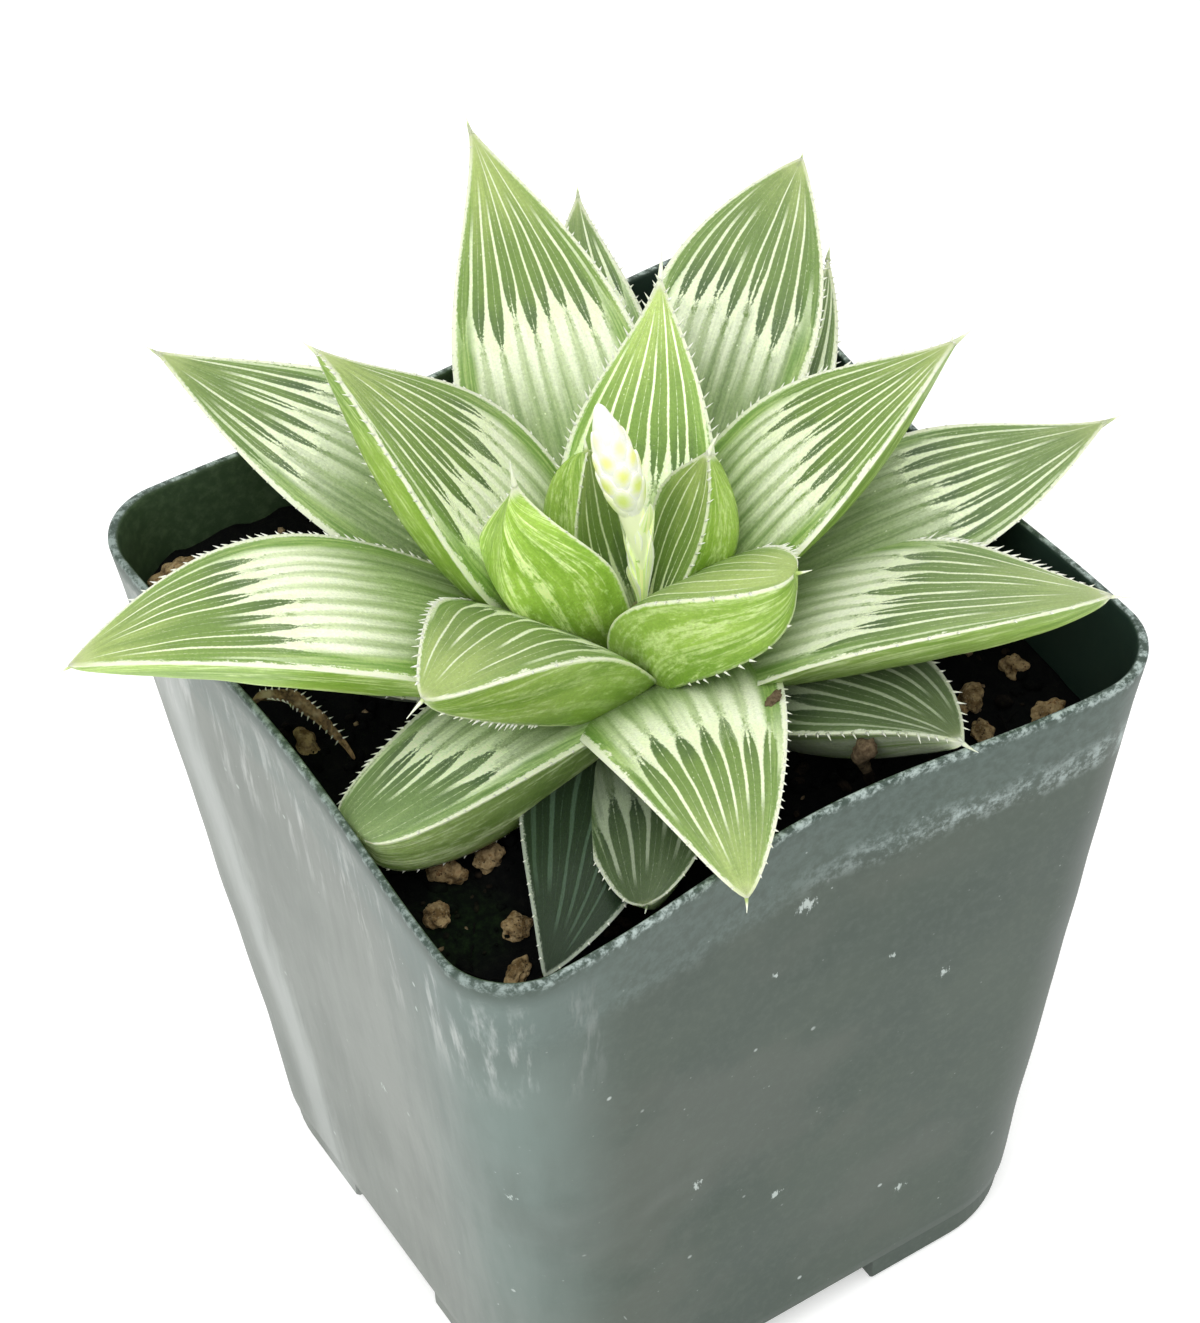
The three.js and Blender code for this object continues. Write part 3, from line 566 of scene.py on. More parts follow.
def leaf_under_finish():
    """The underside and the turned-down flank: fresh green with long pale flecks and a cream edge."""
    f = Finish("leaf_underside")
    _, along, edge = f.split(f.attribute("blade"))
    flame, tone, shade = f.split(f.attribute("look"))
    _, keel_gap, wrap = f.split(f.attribute("ridge"))
    seed = f.split(f.attribute("lines"))[2]
    spine = f.attribute("spine", "Fac")
    band = f.streaks(wrap * 5.5, along * 1.6, seed, 3, 0.6)
    cloud = f.streaks(wrap * 2.2, along * 2.6, seed + 3, 2)
    cells = f.streaks(wrap * 13, along * 16, seed, 3, 0.7)
    dark = f.mix(tone, (0.2, 0.37, 0.03), (0.135, 0.2, 0.065))
    mid = f.mix(tone, (0.37, 0.57, 0.085), (0.25, 0.34, 0.14))
    pale = f.mix(tone, (0.78, 0.93, 0.42), (0.5, 0.59, 0.36))
    body = f.mix(f.rise(cloud + cells * 0.35, 0.42, 0.85), dark, mid)
    flecks = (band - 0.5) * 0.7 + (cells + (cloud - 0.5) * 0.2)
    body = f.mix(f.rise(flecks, 0.5, 0.75) * 0.6, body, pale)
    stripe = f.streaks(wrap * 8, along * 1.1, seed + 6, 3, 0.6)
    stripe = f.rise(stripe, 0.52, 0.62) * f.rise(cells, 0.3, 0.55)
    # Pale stripes stand out more on leaves given painted light, below shade 0.
    body = f.mix(stripe * f.rise(shade, 0.05, -0.25, 0.3, 0.8), body, pale)
    body = f.mix(f.rise(along, 0.5, 0.05) * 0.6, body, mid)
    old = f.rise(flame * tone, 0.35, 0.6) * f.rise(band, 0.3, 0.55)
    body = f.mix(old * 0.75, body, (0.58, 0.62, 0.48))
    # The leaf's shade: painted shade above 0 and painted light below 0, over its own tone; the painted shade
    # also dulls the cream edge.
    body = f.shade_leaf(body, shade, (0.2, 0.26, 0.22))
    jag = f.streaks(wrap * 8, along * 50, seed, 3)
    edge_colour = f.mix(shade, (0.9, 0.96, 0.68), (0.45, 0.5, 0.38))
    rim = f.rise(edge + (jag - 0.5) * 0.5, 0.42, 0.12)
    body = f.mix(rim * 0.85, body, edge_colour)
    ridge = f.rise(keel_gap + (jag - 0.5) * 0.5, 0.5, 0.1)
    body = f.mix(ridge * 0.55, body, edge_colour)
    body = f.mix(f.rise(along, spine, spine + 0.04), body, edge_colour)
    f.bump(cells + jag, 0.12, 0.7)
    return f.shade(body, 0.42, 0.4, flesh=0.22, flesh_depth=(0.9, 1.2, 0.35))


def tooth_finish():
    f = Finish("tooth_cream")
    grain = f.noise(f.object_place(), 0.6, 2)
    colour = f.mix(f.rise(grain, 0.35, 0.65), (0.86, 0.9, 0.68), (0.95, 0.96, 0.86))
    return f.shade(colour, 0.45, 0.35, flesh=0.3, flesh_depth=(1, 1, 0.8))


def bud_finish():
    """White tepals, with a yellow blotch on each that turns greener low on the bud."""
    f = Finish("bud_petal")
    around, along, level = f.split(f.attribute("bud"))
    grain = f.noise(f.object_place(), 0.8, 3, 0.6)
    tall = (along - 0.6) * 2.2
    off = f.root(around * around + tall * tall)
    spot = f.rise(off + (grain - 0.5) * 0.6, 1, 0.1)
    blotch = f.mix(f.rise(level, 0.1, 0.5), (0.68, 0.82, 0.2), (0.95, 0.94, 0.34))
    colour = f.mix(spot * f.rise(level, 0.8, 0.45), (1, 1, 0.93), blotch)
    colour = f.mix(f.rise(level, 0.22, 0) * 0.6, colour, (0.84, 0.93, 0.5))
    f.glow(colour, BUD_GLOW)
    f.bump(grain, 0.05, 0.4)
    return f.shade(colour, 0.5, 0.3, flesh=0.35, flesh_depth=(1, 1, 0.8))


def stalk_finish():
    """Papery cream green with a yellow-green midrib and white edges."""
    f = Finish("stalk_green")
    across, along, turn = f.split(f.attribute("bud"))
    streak = f.streaks(across * 5, along * 1.6, turn, 3)
    wide = abs(across)
    colour = f.mix(f.rise(streak, 0.35, 0.65), (0.74, 0.88, 0.4), (0.96, 1, 0.7))
    beside = f.rise(wide, 0.5, 0.3) * f.rise(wide, 0.06, 0.2)
    colour = f.mix(beside * 0.5, colour, (0.5, 0.7, 0.2))
    colour = f.mix(f.rise(wide, 0.16, 0.05), colour, (0.97, 1, 0.5))
    colour = f.mix(f.rise(wide, 0.7, 0.95), colour, (0.96, 0.98, 0.86))
    colour = f.mix(f.rise(along, 0.3, 0) * 0.6, colour, (0.42, 0.62, 0.14))
    f.glow(colour, STALK_GLOW)
    f.bump(streak, 0.06, 0.4)
    return f.shade(colour, 0.5, 0.3, flesh=0.3)


def soil_finish():
    """Damp black potting mix with brown fibre, grey dust and a little moss."""
    f = Finish("soil_mix")
    place = f.object_place()
    tint = f.attribute("tint", "Fac")
    moss = f.attribute("moss", "Fac")
    grain = f.noise(place, 1.1, 5, 0.7)
    patch = f.noise(place, 7, 3)
    black = f.mix(f.rise(grain, 0.4, 0.8), (0.001, 0.0015, 0.0015), (0.006, 0.006, 0.005))
    brown = f.mix(f.rise(grain, 0.3, 0.7), (0.005, 0.004, 0.003), (0.026, 0.018, 0.011))
    tan = f.mix(f.rise(grain, 0.3, 0.7), (0.1, 0.065, 0.035), (0.36, 0.27, 0.16))
    colour = f.mix(f.rise(tint, 0.5, 0.75), black, brown)
    colour = f.mix(f.rise(tint, 0.88, 0.94), colour, tan)
    colour = f.mix(f.rise(patch, 0.55, 0.8) * 0.1, colour, (0.02, 0.018, 0.013))
    green = f.mix(f.rise(grain, 0.4, 0.7), (0.002, 0.005, 0.002), (0.01, 0.026, 0.006))
    colour = f.mix(moss * 0.7, colour, green)
    f.bump(f.noise(place, 0.5, 5, 0.75), 0.35, 0.8)
    return f.shade(colour, 0.75 + grain * 0.25, 0.1)


def pumice_finish():
    """Tan porous stone with rust stains and dark pores."""
    f = Finish("pumice_stone")
    place = f.object_place()
    stain = f.noise(place, 1.6, 4, 0.6)
    grain = f.noise(place, 0.3, 4, 0.7)
    pore = f.rise(f.cells(place, 0.5), 0.25, 0.08)
    colour = f.mix(f.rise(stain, 0.38, 0.62), (0.16, 0.1, 0.038), (0.44, 0.32, 0.16))
    colour = f.mix(f.rise(stain, 0.58, 0.7) * 0.75, colour, (0.25, 0.115, 0.035))
    colour = f.mix(f.rise(grain, 0.52, 0.76) * 0.6, colour, (0.62, 0.53, 0.34))
    colour = f.mix(f.most(pore, f.rise(grain, 0.38, 0.26)) * 0.8, colour, (0.05, 0.032, 0.018))
    f.bump(grain - pore * 0.8, 0.35)
    return f.shade(colour, 0.9, 0.2)


# Chips in the pot's near walls: place and size.
CHIPS = (((-2.8, -41.1, 83.9), 1.3), ((8.8, -41.2, 67.8), 0.45), ((-6.9, -41.2, 75.0), 0.45),
         ((16.3, -41.2, 60.0), 0.7), ((-6.0, -39.5, 32.6), 0.9), ((12.9, -38.6, 18.8), 0.8),
         ((-17.1, -40.3, 43.6), 0.8), ((-42.4, -4.4, 96.8), 0.8), ((-40.4, -9.6, 45.9), 0.7),
         ((-42.9, -26.1, 79.1), 0.5), ((-39.1, -36.5, 54.4), 0.6))


def pot_finish():
    """Grey-green plastic: dusty outside, with a painted sheen and a painted highlight on the -X face, dark
    inside, scuffed at the rim, with a lime line.
    """
    f = Finish("pot_plastic")
    place = f.object_place()
    x, y, z = f.split(place)
    inside = f.attribute("inside", "Fac")
    cloud = f.noise(place, 20, 4, 0.55)
    brushed = f.noise(f.join(x, y, z * 0.16), 3.2, 5, 0.65)
    dusty = f.noise(place, 1.3, 6, 0.75)
    body = f.mix(f.rise(cloud, 0.3, 0.7), (0.024, 0.045, 0.031), (0.042, 0.064, 0.045))
    worn = f.noise(f.join(x, y, z * 1.3), 34, 3, 0.6)
    worn = f.rise(worn - x * 0.004, 0.48, 0.64) * f.rise(z, 92, 78)
    body = f.mix(worn * 0.4, body, (0.08, 0.092, 0.072))
    body = f.mix(f.rise(dusty, 0.4, 0.7) * 0.35, body, (0.09, 0.118, 0.095))
    # Painted sheen: the -X face is lightened to a mottled grey that turns teal toward the front corner, as if
    # light fell on that side.
    left = f.rise(x, -25, -42)
    left = left * f.rise(z + dusty * 4, 98.5, 95)
    left_sheen = left * f.rise(cloud * 0.6 + brushed * 0.4, 0.3, 0.65, 0.45, 0.8)
    body = f.mix(left_sheen, body, f.mix(f.rise(y + brushed * 16, -4, -32), (0.275, 0.295, 0.27),
                                   (0.165, 0.225, 0.205)))

    # A painted highlight, the bright streak that runs down the left face, and brush marks below its rim.
    run = y - z * 0.2
    run = run + (brushed - 0.5) * 9
    glare = left * f.rise(abs(run - 12), 7, 0)
    body = f.mix(glare * 0.5, body, (0.52, 0.55, 0.53))
    swipe = f.rise(brushed, 0.5, 0.64) * f.rise(z, 72, 84)
    swipe = swipe * f.rise(z, 96, 90) * left
    body = f.mix(swipe * 0.45, body, (0.6, 0.62, 0.6))

    # A cloudy belt above the soil line, with a crust of lime along its lower edge.
    waver = (f.noise(place, 9, 3) - 0.5) * 5
    level = z + waver
    belt = f.rise(level, 85, 88) * f.rise(dusty, 0.3, 0.65, 0.25, 1)
    body = f.mix(belt * 0.42, body, (0.1, 0.15, 0.135))
    crust = f.rise(level, 84.2, 86.6) * f.rise(level, 90.5, 87)
    crust = crust * f.rise(dusty * 0.6 + brushed * 0.4, 0.44, 0.62)
    crust = crust * f.rise(x, -8, 16, 0.08, 1)
    body = f.mix(crust * 0.7, body, (0.42, 0.5, 0.48))

    # Chips that are knocked into the two near walls.
    jag = f.noise(f.join(x, y, z * 0.35), 0.45, 4, 0.75)
    for chip, size in CHIPS:
        far = f.distance(place, chip)
        chipped = f.rise(far * (1 / size) + (jag - 0.5) * 5, 0.8, 0.3)
        body = f.mix(chipped * 0.65, body, (0.6, 0.68, 0.64))

    # Specks and short scratches, and the scuffed edge of the rim.
    specks = f.rise(f.cells(place, 5.5), 0.075, 0.03)
    specks = specks * f.rise(f.noise(place, 6, 2), 0.44, 0.56)
    dust = f.rise(f.cells(place, 1.1), 0.16, 0.05)
    specks = f.most(specks, dust * f.rise(f.noise(place, 2.6, 3), 0.55, 0.8))
    scratch_place = f.join(x + z * 0.35, y, z * 0.16)
    scratches = f.rise(f.cells(scratch_place, 2.4), 0.05, 0.02)
    scratches = scratches * f.rise(f.noise(place, 11, 2), 0.55, 0.66)
    body = f.mix(f.most(specks, scratches * 0.5) * 0.6, body, (0.6, 0.66, 0.63))
    rim = f.rise(z + dusty * 3.4, 98.1, 99.6) * f.rise(dusty, 0.42, 0.6)
    rim = rim * f.rise(x, -42, -30, 0.45, 0.85)
    body = f.mix(rim, body, (0.46, 0.55, 0.52))
    # The inside walls: mottled dark green, darker still towards the +X wall.
    stain = f.mix(f.rise(dusty, 0.4, 0.7), (0.03, 0.056, 0.024), (0.062, 0.098, 0.048))
    stain = f.mix(f.rise(x, 0, 28) * 0.85, stain, (0.013, 0.03, 0.024))
    colour = f.mix(inside, body, stain)
    f.bump(dusty * 0.4 + brushed, 0.04, 0.5)
    gloss = 0.34 + (dusty + cloud) * 0.16
    return f.shade(colour, gloss, 0.45)


def dry_leaf_finish():
    f = Finish("dry_leaf")
    place = f.object_place()
    grain = f.noise(place, 0.8, 4, 0.65)
    blotch = f.noise(place, 3, 3)
    colour = f.mix(f.rise(grain, 0.35, 0.65), (0.05, 0.03, 0.014), (0.26, 0.17, 0.08))
    colour = f.mix(f.rise(blotch, 0.5, 0.75), colour, (0.46, 0.38, 0.24))
    f.bump(grain, 0.2, 0.8)
    return f.shade(colour, 0.75, 0.25, flesh=0.1)


def stem_finish():
    f = Finish("stem_tissue")
    place = f.object_place()
    grain = f.noise(place, 1.6, 4, 0.6)
    colour = f.mix(f.rise(grain, 0.35, 0.65), (0.2, 0.24, 0.08), (0.42, 0.4, 0.2))
    f.bump(grain, 0.3, 0.7)
    return f.shade(colour, 0.7, 0.3, flesh=0.1)


def floor_finish():
    f = Finish("pale_floor")
    grain = f.noise(f.object_place(), 60, 2)
    colour = f.mix(grain, (0.9, 0.9, 0.89), (0.93, 0.93, 0.93))
    f.glow(colour, FLOOR_GLOW)
    return f.shade(colour, 0.8, 0.1)


# ---------------------------------------------------------------- leaves


PATH_STEPS = 60  # steps in which a leaf's middle line is laid
WIDENING = 1.3  # how softly a leaf widens from its base
DEEPEST = 0.55  # the share of its length where it is deepest
BASE_DEPTH = 0.65  # its depth at the base, as a share of its greatest
FACE_POWER, UNDER_POWER = 2.4, 1.35  # how flat the face is and how full the underside, across the leaf
DENT_SIZE, DENT_DEPTH = 6.0, 0.22  # soft dents in its skin
TIP_START = 0.975  # where the drawn tip leaves the blade
FAR = 9  # a distance at which no rail, keel line or edge is drawn

TEETH_START, LATE_TEETH_START = 0.18, 0.58  # on a plain margin, and on the keel or beside a rail
TEETH_END = 0.98
TOOTH_FEWEST = 2.6  # spacing of the shortest teeth

PRESS_SOFT = 1.2  # how far from the pot's wall a leaf begins to yield


def humped(t):
    """0 at both ends and 1 in the middle."""
    return 4 * t * (1 - t)


def leaf_heading(leaf, t):
    """Azimuth and unit direction of the leaf at a share of its length."""
    rise = math.radians(leaf.rise + (leaf.tip_rise - leaf.rise) * t + leaf.arch * humped(t))
    azimuth = math.radians(leaf.azimuth + leaf.curl * t * t + leaf.sway * humped(t))
    level = Vector((math.cos(azimuth), math.sin(azimuth), 0))
    return azimuth, level * math.cos(rise) + Vector((0, 0, math.sin(rise)))


def leaf_half_width(leaf, t):
    full = leaf.width / 2
    if t < leaf.widest:
        rising = math.sin(math.pi / 2 * t / leaf.widest) ** WIDENING
        return full * lerp(leaf.base, 1, rising)
    return full * max(0.0, math.cos(math.pi / 2 * (t - leaf.widest) / (1 - leaf.widest))) ** leaf.taper


def leaf_depth(leaf, t):
    if t < DEEPEST:
        return leaf.depth * lerp(BASE_DEPTH, 1, math.sin(math.pi / 2 * t / DEEPEST))
    falling = max(0.0, math.cos(math.pi / 2 * (t - DEEPEST) / (1 - DEEPEST)))
    return leaf.depth * falling ** (0.15 + 0.5 * leaf.taper)


Section = namedtuple("Section", "t centre forward side up half_width depth")


def leaf_sections(leaf, stations):
    """The leaf's frames at the given shares of its length."""
    whorl = WHORLS[leaf.whorl]
    start = math.radians(leaf.azimuth)
    centre = STEM + Vector((whorl.radius * math.cos(start), whorl.radius * math.sin(start), whorl.height))
    centres = [centre.copy()]
    for i in range(PATH_STEPS):
        centre = centre + leaf_heading(leaf, (i + 0.5) / PATH_STEPS)[1] * leaf.length / PATH_STEPS
        centres.append(centre.copy())
    sections = []
    for t in stations:
        azimuth, forward = leaf_heading(leaf, t)
        level = Vector((-math.sin(azimuth), math.cos(azimuth), 0))
        over = forward.cross(level)
        roll = math.radians(leaf.roll + leaf.twist * t)
        side = level * math.cos(roll) + over * math.sin(roll)
        up = over * math.cos(roll) - level * math.sin(roll)
        low = min(int(t * PATH_STEPS), PATH_STEPS - 1)
        place = centres[low].lerp(centres[low + 1], t * PATH_STEPS - low)
        sections.append(Section(t, place, forward, side, up, leaf_half_width(leaf, t), leaf_depth(leaf, t)))
    return sections


def face_height(leaf, section, across):
    swell = WHORLS[leaf.whorl].swell * section.half_width / (leaf.width / 2)
    return swell * (1 - abs(across) ** FACE_POWER)


def under_height(leaf, section, across):
    if across < leaf.keel:
        reach = (leaf.keel - across) / (1 + leaf.keel)
    else:
        reach = (across - leaf.keel) / (1 - leaf.keel)
    return -section.depth * (1 - reach ** UNDER_POWER)


def wrap_round(leaf, section, across):
    """How far round the underside a point lies from the - margin, in half widths."""
    def reach(a, b):
        run = (b - a) * section.half_width
        drop = under_height(leaf, section, b) - under_height(leaf, section, a)
        return math.hypot(run, drop)
    if across < leaf.keel:
        total = reach(-1, across)
    else:
        total = reach(-1, leaf.keel) + reach(leaf.keel, across)
    return total / max(section.half_width, 0.05)


def leaf_surface(leaf, section, angle, seed):
    """A point of the section. Angles from 0 to pi cross the face, and from pi to 2 pi the underside."""
    across = math.cos(angle)
    on_face = math.sin(angle) >= 0
    height = face_height(leaf, section, across) if on_face else under_height(leaf, section, across)
    place = section.centre + section.side * across * section.half_width + section.up * height
    dent = rough(place + Vector((7.3 * seed, 0, 0)), DENT_SIZE) * DENT_DEPTH * (1 - abs(across) ** 3)
    return place + section.up * (dent if on_face else -dent), across, height


def add_tooth(bm, root, direction, length, radius, material):
    """A slim cone whose root is sunk in the leaf."""
    turn = direction.to_track_quat("Z", "Y").to_matrix().to_4x4()
    place = Matrix.Translation(root + direction * (length / 2 - radius)) @ turn
    made = bmesh.ops.create_cone(bm, cap_ends=True, cap_tris=True, segments=5, radius1=radius,
                                 radius2=radius * 0.08, depth=length, matrix=place)
    for face in {f for v in made["verts"] for f in v.link_faces}:
        face.material_index = material


def tooth_root(leaf, section, hand):
    """Where a tooth leaves a margin, or the keel if hand is 0."""
    if hand:
        return section.centre + section.side * hand * section.half_width
    return section.centre + section.side * leaf.keel * section.half_width - section.up * section.depth


def add_teeth(bm, leaf, look, dice):
    """Rows of teeth on both margins and, where it has them, on the keel."""
    for hand, longest in ((1, look.teeth_plus), (-1, look.teeth_minus), (0, look.teeth_keel)):
        if not longest:
            continue
        first = TEETH_START if hand and hand != look.rail else LATE_TEETH_START
        t = first + dice.uniform(0, 0.03)
        while t < TEETH_END:
            here, ahead = leaf_sections(leaf, (t, min(t + 0.01, 1.0)))
            root = tooth_root(leaf, here, hand)
            run = (tooth_root(leaf, ahead, hand) - root).normalized()
            outward = here.side * hand if hand else -here.up
            outward = (outward - run * outward.dot(run)).normalized()
            tilt = here.up * dice.uniform(-0.25, 0.25)
            direction = (outward + run * dice.uniform(0.3, 0.8) + tilt).normalized()
            grown = smooth(first - 0.05, first + 0.15, t) * (1 - 0.35 * smooth(0.85, 1.0, t))
            length = longest * dice.uniform(0.55, 1.25) * grown + 0.18
            add_tooth(bm, root, direction, length, TOOTH_RADIUS * dice.uniform(0.6, 1.0), 2)
            spacing = lerp(TOOTH_FEWEST, TOOTH_SPACING, smooth(0.1, 0.6, longest))
            t += spacing * dice.uniform(0.6, 1.5) / leaf.length


def spine_start(leaf, look):
    """The share of its length where a leaf's drawn tip turns pale, which on a blunt leaf is its very end."""
    return 1 - 0.03 * look.bristle * smooth(0.4, 1.1, leaf.taper)


def make_bristle(leaf, look, marks, dice):
    """The leaf's drawn-out tip, which ends in a fine pale spine."""
    last = leaf_sections(leaf, (TIP_START,))[0]
    hidden = 0.025 * leaf.length
    whole = hidden + 0.5 + look.bristle
    bend = last.side * dice.uniform(-0.4, 0.4) + last.up * dice.uniform(-0.2, 0.4)
    start = last.centre - last.up * min(0.3, last.depth / 3)
    shares = [k / 12 for k in range(13)]
    route = [start + last.forward * whole * s + bend * s * s for s in shares]
    bm = tube(route, [0.04 + 0.34 * (1 - s) ** 1.3 for s in shares])
    for name, value in marks.items():
        mark(bm, name, value)
    blade = bm.verts.layers.float_vector["blade"]
    for vert in bm.verts:
        out = (vert.co - start).dot(last.forward)
        vert[blade] = (0, 0.99 + 0.06 * smooth(hidden, hidden + 1.2, out), FAR)
    return bm


def press_inside(place):
    """Where a leaf reaches the pot's wall under the rim, it is pressed flat against the inner face."""
    share = pot_share(place.z)
    yielding = smooth(POT_HEIGHT - 0.2, POT_HEIGHT - 1.5, place.z)
    straight = lerp(POT_BOTTOM_HALF - POT_BOTTOM_CORNER, POT_TOP_HALF - POT_TOP_CORNER, share)
    for side, sag in enumerate(RIM_SAG):
        outward = Matrix.Rotation(math.pi / 2 * side, 3, "Z") @ Vector((1, 0, 0))
        along = min(1.0, abs(place.cross(outward).z) / straight)
        bow = sag * share ** 2 * math.cos(math.pi / 2 * along) ** 2
        start = pot_half(place.z) - bow - POT_WALL - CLEARANCE - PRESS_SOFT
        over = place.dot(outward) - start
        if over > 0:
            place -= outward * (over - PRESS_SOFT * (1 - math.exp(-over / PRESS_SOFT))) * yielding


def make_leaf(leaf, look, number, finishes):
    dice = random.Random(number)
    bm = pillar(LEAF_SIDES, LEAF_RINGS)
    sections = leaf_sections(leaf, [0.998 * (i / LEAF_RINGS) ** 0.9 for i in range(LEAF_RINGS + 1)])
    seed = number * 1.7
    # What the finishes read, as it is at the drawn tip.
    marks = {"blade": (0, 1, FAR), "lines": (0.5, 30, seed), "look": (look.flame, look.tone, look.shade),
             "ridge": (FAR, FAR, 1), "pitch": 1.0, "spine": spine_start(leaf, look)}
    for name, value in marks.items():
        mark(bm, name, value)
    blade, lines, ridge = (bm.verts.layers.float_vector[name] for name in ("blade", "lines", "ridge"))
    pitch = bm.verts.layers.float["pitch"]
    for face in bm.faces:
        face.material_index = 0 if face.calc_center_median().y > 0 else 1
    for vert in bm.verts:
        section = sections[round((vert.co.z + 0.5) * LEAF_RINGS)]
        angle = math.atan2(vert.co.y, vert.co.x) % (2 * math.pi)
        vert.co, across, height = leaf_surface(leaf, section, angle, number)
        edge = math.hypot((1 - abs(across)) * section.half_width, height)
        vert[blade] = (across, section.t, edge)
        vert[lines] = (across * look.lines / 2 + 0.25, (section.t - look.start) * leaf.length, seed)
        rail_gap = (1 - across * look.rail) * section.half_width if look.rail else FAR
        keel_gap = math.hypot(across - leaf.keel, (height + section.depth) / section.half_width)
        keel_gap = keel_gap * section.half_width if look.teeth_keel else FAR
        vert[ridge] = (rail_gap, keel_gap, wrap_round(leaf, section, across))
        vert[pitch] = 2 * section.half_width / look.lines
    face_outward(bm)
    add_teeth(bm, leaf, look, dice)
    join(bm, make_bristle(leaf, look, marks, dice))
    for vert in bm.verts:
        press_inside(vert.co)
    finish_piece(f"leaf_{number:02d}_blade", bm, finishes, [f"leaf_{number:02d}"])


def make_leaves():
    finishes = (leaf_face_finish(), leaf_under_finish(), tooth_finish())
    for number, (leaf, look) in enumerate(LEAVES, 1):
        make_leaf(leaf, look, number, finishes)


# ---------------------------------------------------------------- flower

BUD_BASE = Vector((1.7, -1.6, 108.0))
BUD_TOP = Vector((-1.9, -1.4, 125.8))
BUD_RADIUS = 2.6
BUD_SCALES = 30
SCALE_TURN = 2.4  # radians from one scale to the next
STALK_FOOT = Vector((2.9, -0.4, 89.5))
STALK_TURNS = (STALK_FOOT, Vector((3, -0.5, 95)), Vector((2.5, -1.2, 103)))
STALK_RINGS = 20

# Bracts: the height where each leaves the stalk, the way it faces, its length and half width.
BRACTS = ((93.0, 4.2, 16.5, 1.75), (96.0, 5.7, 12.5, 1.45), (95.5, 2.8, 10.0, 1.4), (97.0, 1.1, 11.5, 1.6),
          (101.0, 3.4, 8.5, 1.6), (101.5, 5.0, 9.0, 1.7), (94.0, 3.3, 6.5, 1.1))


def bud_girth(t):
    """The bud's radius at a share of its height: narrow at the neck, widest below the middle."""
    return BUD_RADIUS * max(0.0, math.sin(math.pi * (0.13 + 0.84 * t))) ** 0.8


def make_scale(root, along, outward, length, half, level):
    """One closed flower bud, flattened against its neighbours, as a pointed egg along the bud's side."""
    bm = bmesh.new()
    layer = bm.verts.layers.float_vector.new("bud")
    bmesh.ops.create_uvsphere(bm, u_segments=16, v_segments=14, radius=1)
    level_way = along.cross(outward).normalized()
    outward = level_way.cross(along).normalized()
    for vert in bm.verts:
        t = (vert.co.z + 1) / 2
        girth = math.sqrt(max(0.0, 1 - vert.co.z ** 2)) * (1.12 - 0.5 * t)
        ring = math.hypot(vert.co.x, vert.co.y) or 1
        side, out = vert.co.x / ring * girth, vert.co.y / ring * girth
        bow = 0.3 * t * t - 0.5 * side * side
        stands_off = outward * (out * half * 0.42 + bow * 0.4)
        vert.co = root + along * t * length + level_way * side * half + stands_off
        vert[layer] = (side, t if out > 0 else 0, level)
    return bm


def make_flower():
    """A young spike: buds packed like scales round its tip, and slim bracts up the stalk."""
    bm = bmesh.new()
    axis = (BUD_TOP - BUD_BASE).normalized()
    tall = (BUD_TOP - BUD_BASE).length
    across = axis.orthogonal().normalized()
    for i in range(BUD_SCALES):
        t = 0.04 + 0.8 * (i / (BUD_SCALES - 1)) ** 1.05
        outward = Quaternion(axis, i * SCALE_TURN) @ across
        length = lerp(5.4, 3.0, t)
        ahead = min(1.0, t + length * 0.8 / tall)
        root = BUD_BASE + axis * tall * t + outward * (bud_girth(t) - 0.7)
        head = BUD_BASE + axis * tall * ahead + outward * (bud_girth(ahead) - 0.4)
        join(bm, make_scale(root, (head - root).normalized(), outward, length, lerp(1.5, 0.9, t), t))
    shares = [k / 24 for k in range(25)]
    girths = [max(0.1, bud_girth(s) - 0.35) for s in shares]
    core = tube([BUD_BASE.lerp(BUD_TOP, s) for s in shares], girths, 20)
    mark(core, "bud", (0.9, 0.1, 0.6))
    join(bm, core)
    route = along_curve([*STALK_TURNS, BUD_BASE + axis * 3], STALK_RINGS)
    girths = [lerp(0.55, 1.5, smooth(0.3, 1, i / (STALK_RINGS - 1))) for i in range(STALK_RINGS)]
    stalk = tube(route, girths, 14, 1)
    mark(stalk, "bud", (0.5, 0.6, 3.0))
    join(bm, stalk)
    for z, turn, length, half in BRACTS:
        share = smooth(STALK_FOOT.z, 106, z)
        base = Vector((lerp(3, 2.3, share), lerp(-0.5, -1.4, share), z))
        join(bm, make_bract(base, turn, length, half))
    finish_piece("flower_spike", bm, (bud_finish(), stalk_finish()), ["flower_stalk"])


def make_bract(base, turn, length, half):
    """A pointed papery scale that clasps the stalk and stands off at its tip."""
    bm = pillar(16, 14)
    layer = bm.verts.layers.float_vector.new("bud")
    outward = Vector((math.cos(turn), math.sin(turn), 0))
    level = Vector((-math.sin(turn), math.cos(turn), 0))
    for vert in bm.verts:
        t = vert.co.z + 0.5
        across = vert.co.x
        wide = half * lerp(0.3, 1, smooth(0, 0.6, t)) * max(0.0, math.cos(math.pi / 2 * t ** 2)) ** 0.9
        thick = 0.14 * (1 if vert.co.y > 0 else -1) * math.sqrt(max(0.0, 1 - across ** 2)) * (1.05 - t)
        clasp = 0.5 + smooth(0, 0.8, t) - 0.55 * (across * wide / 1.6) ** 2 + 0.4 * t ** 3 + thick
        vert.co = base + Vector((0, 0, t * length)) + outward * clasp + level * across * wide
        vert[layer] = (across, t, turn)
    for face in bm.faces:
        face.material_index = 1
    return bm


# ---------------------------------------------------------------- pot


SIDE_SHARE = 0.62  # the straight part of each side, as a share of the way to the next one
PRESSED_AT = (-25, 42)  # X and Z of the dents that are pressed into the -Y wall
PRESSED_NEAR, PRESSED_FAR = 6, 17  # how far they reach, in full and at all


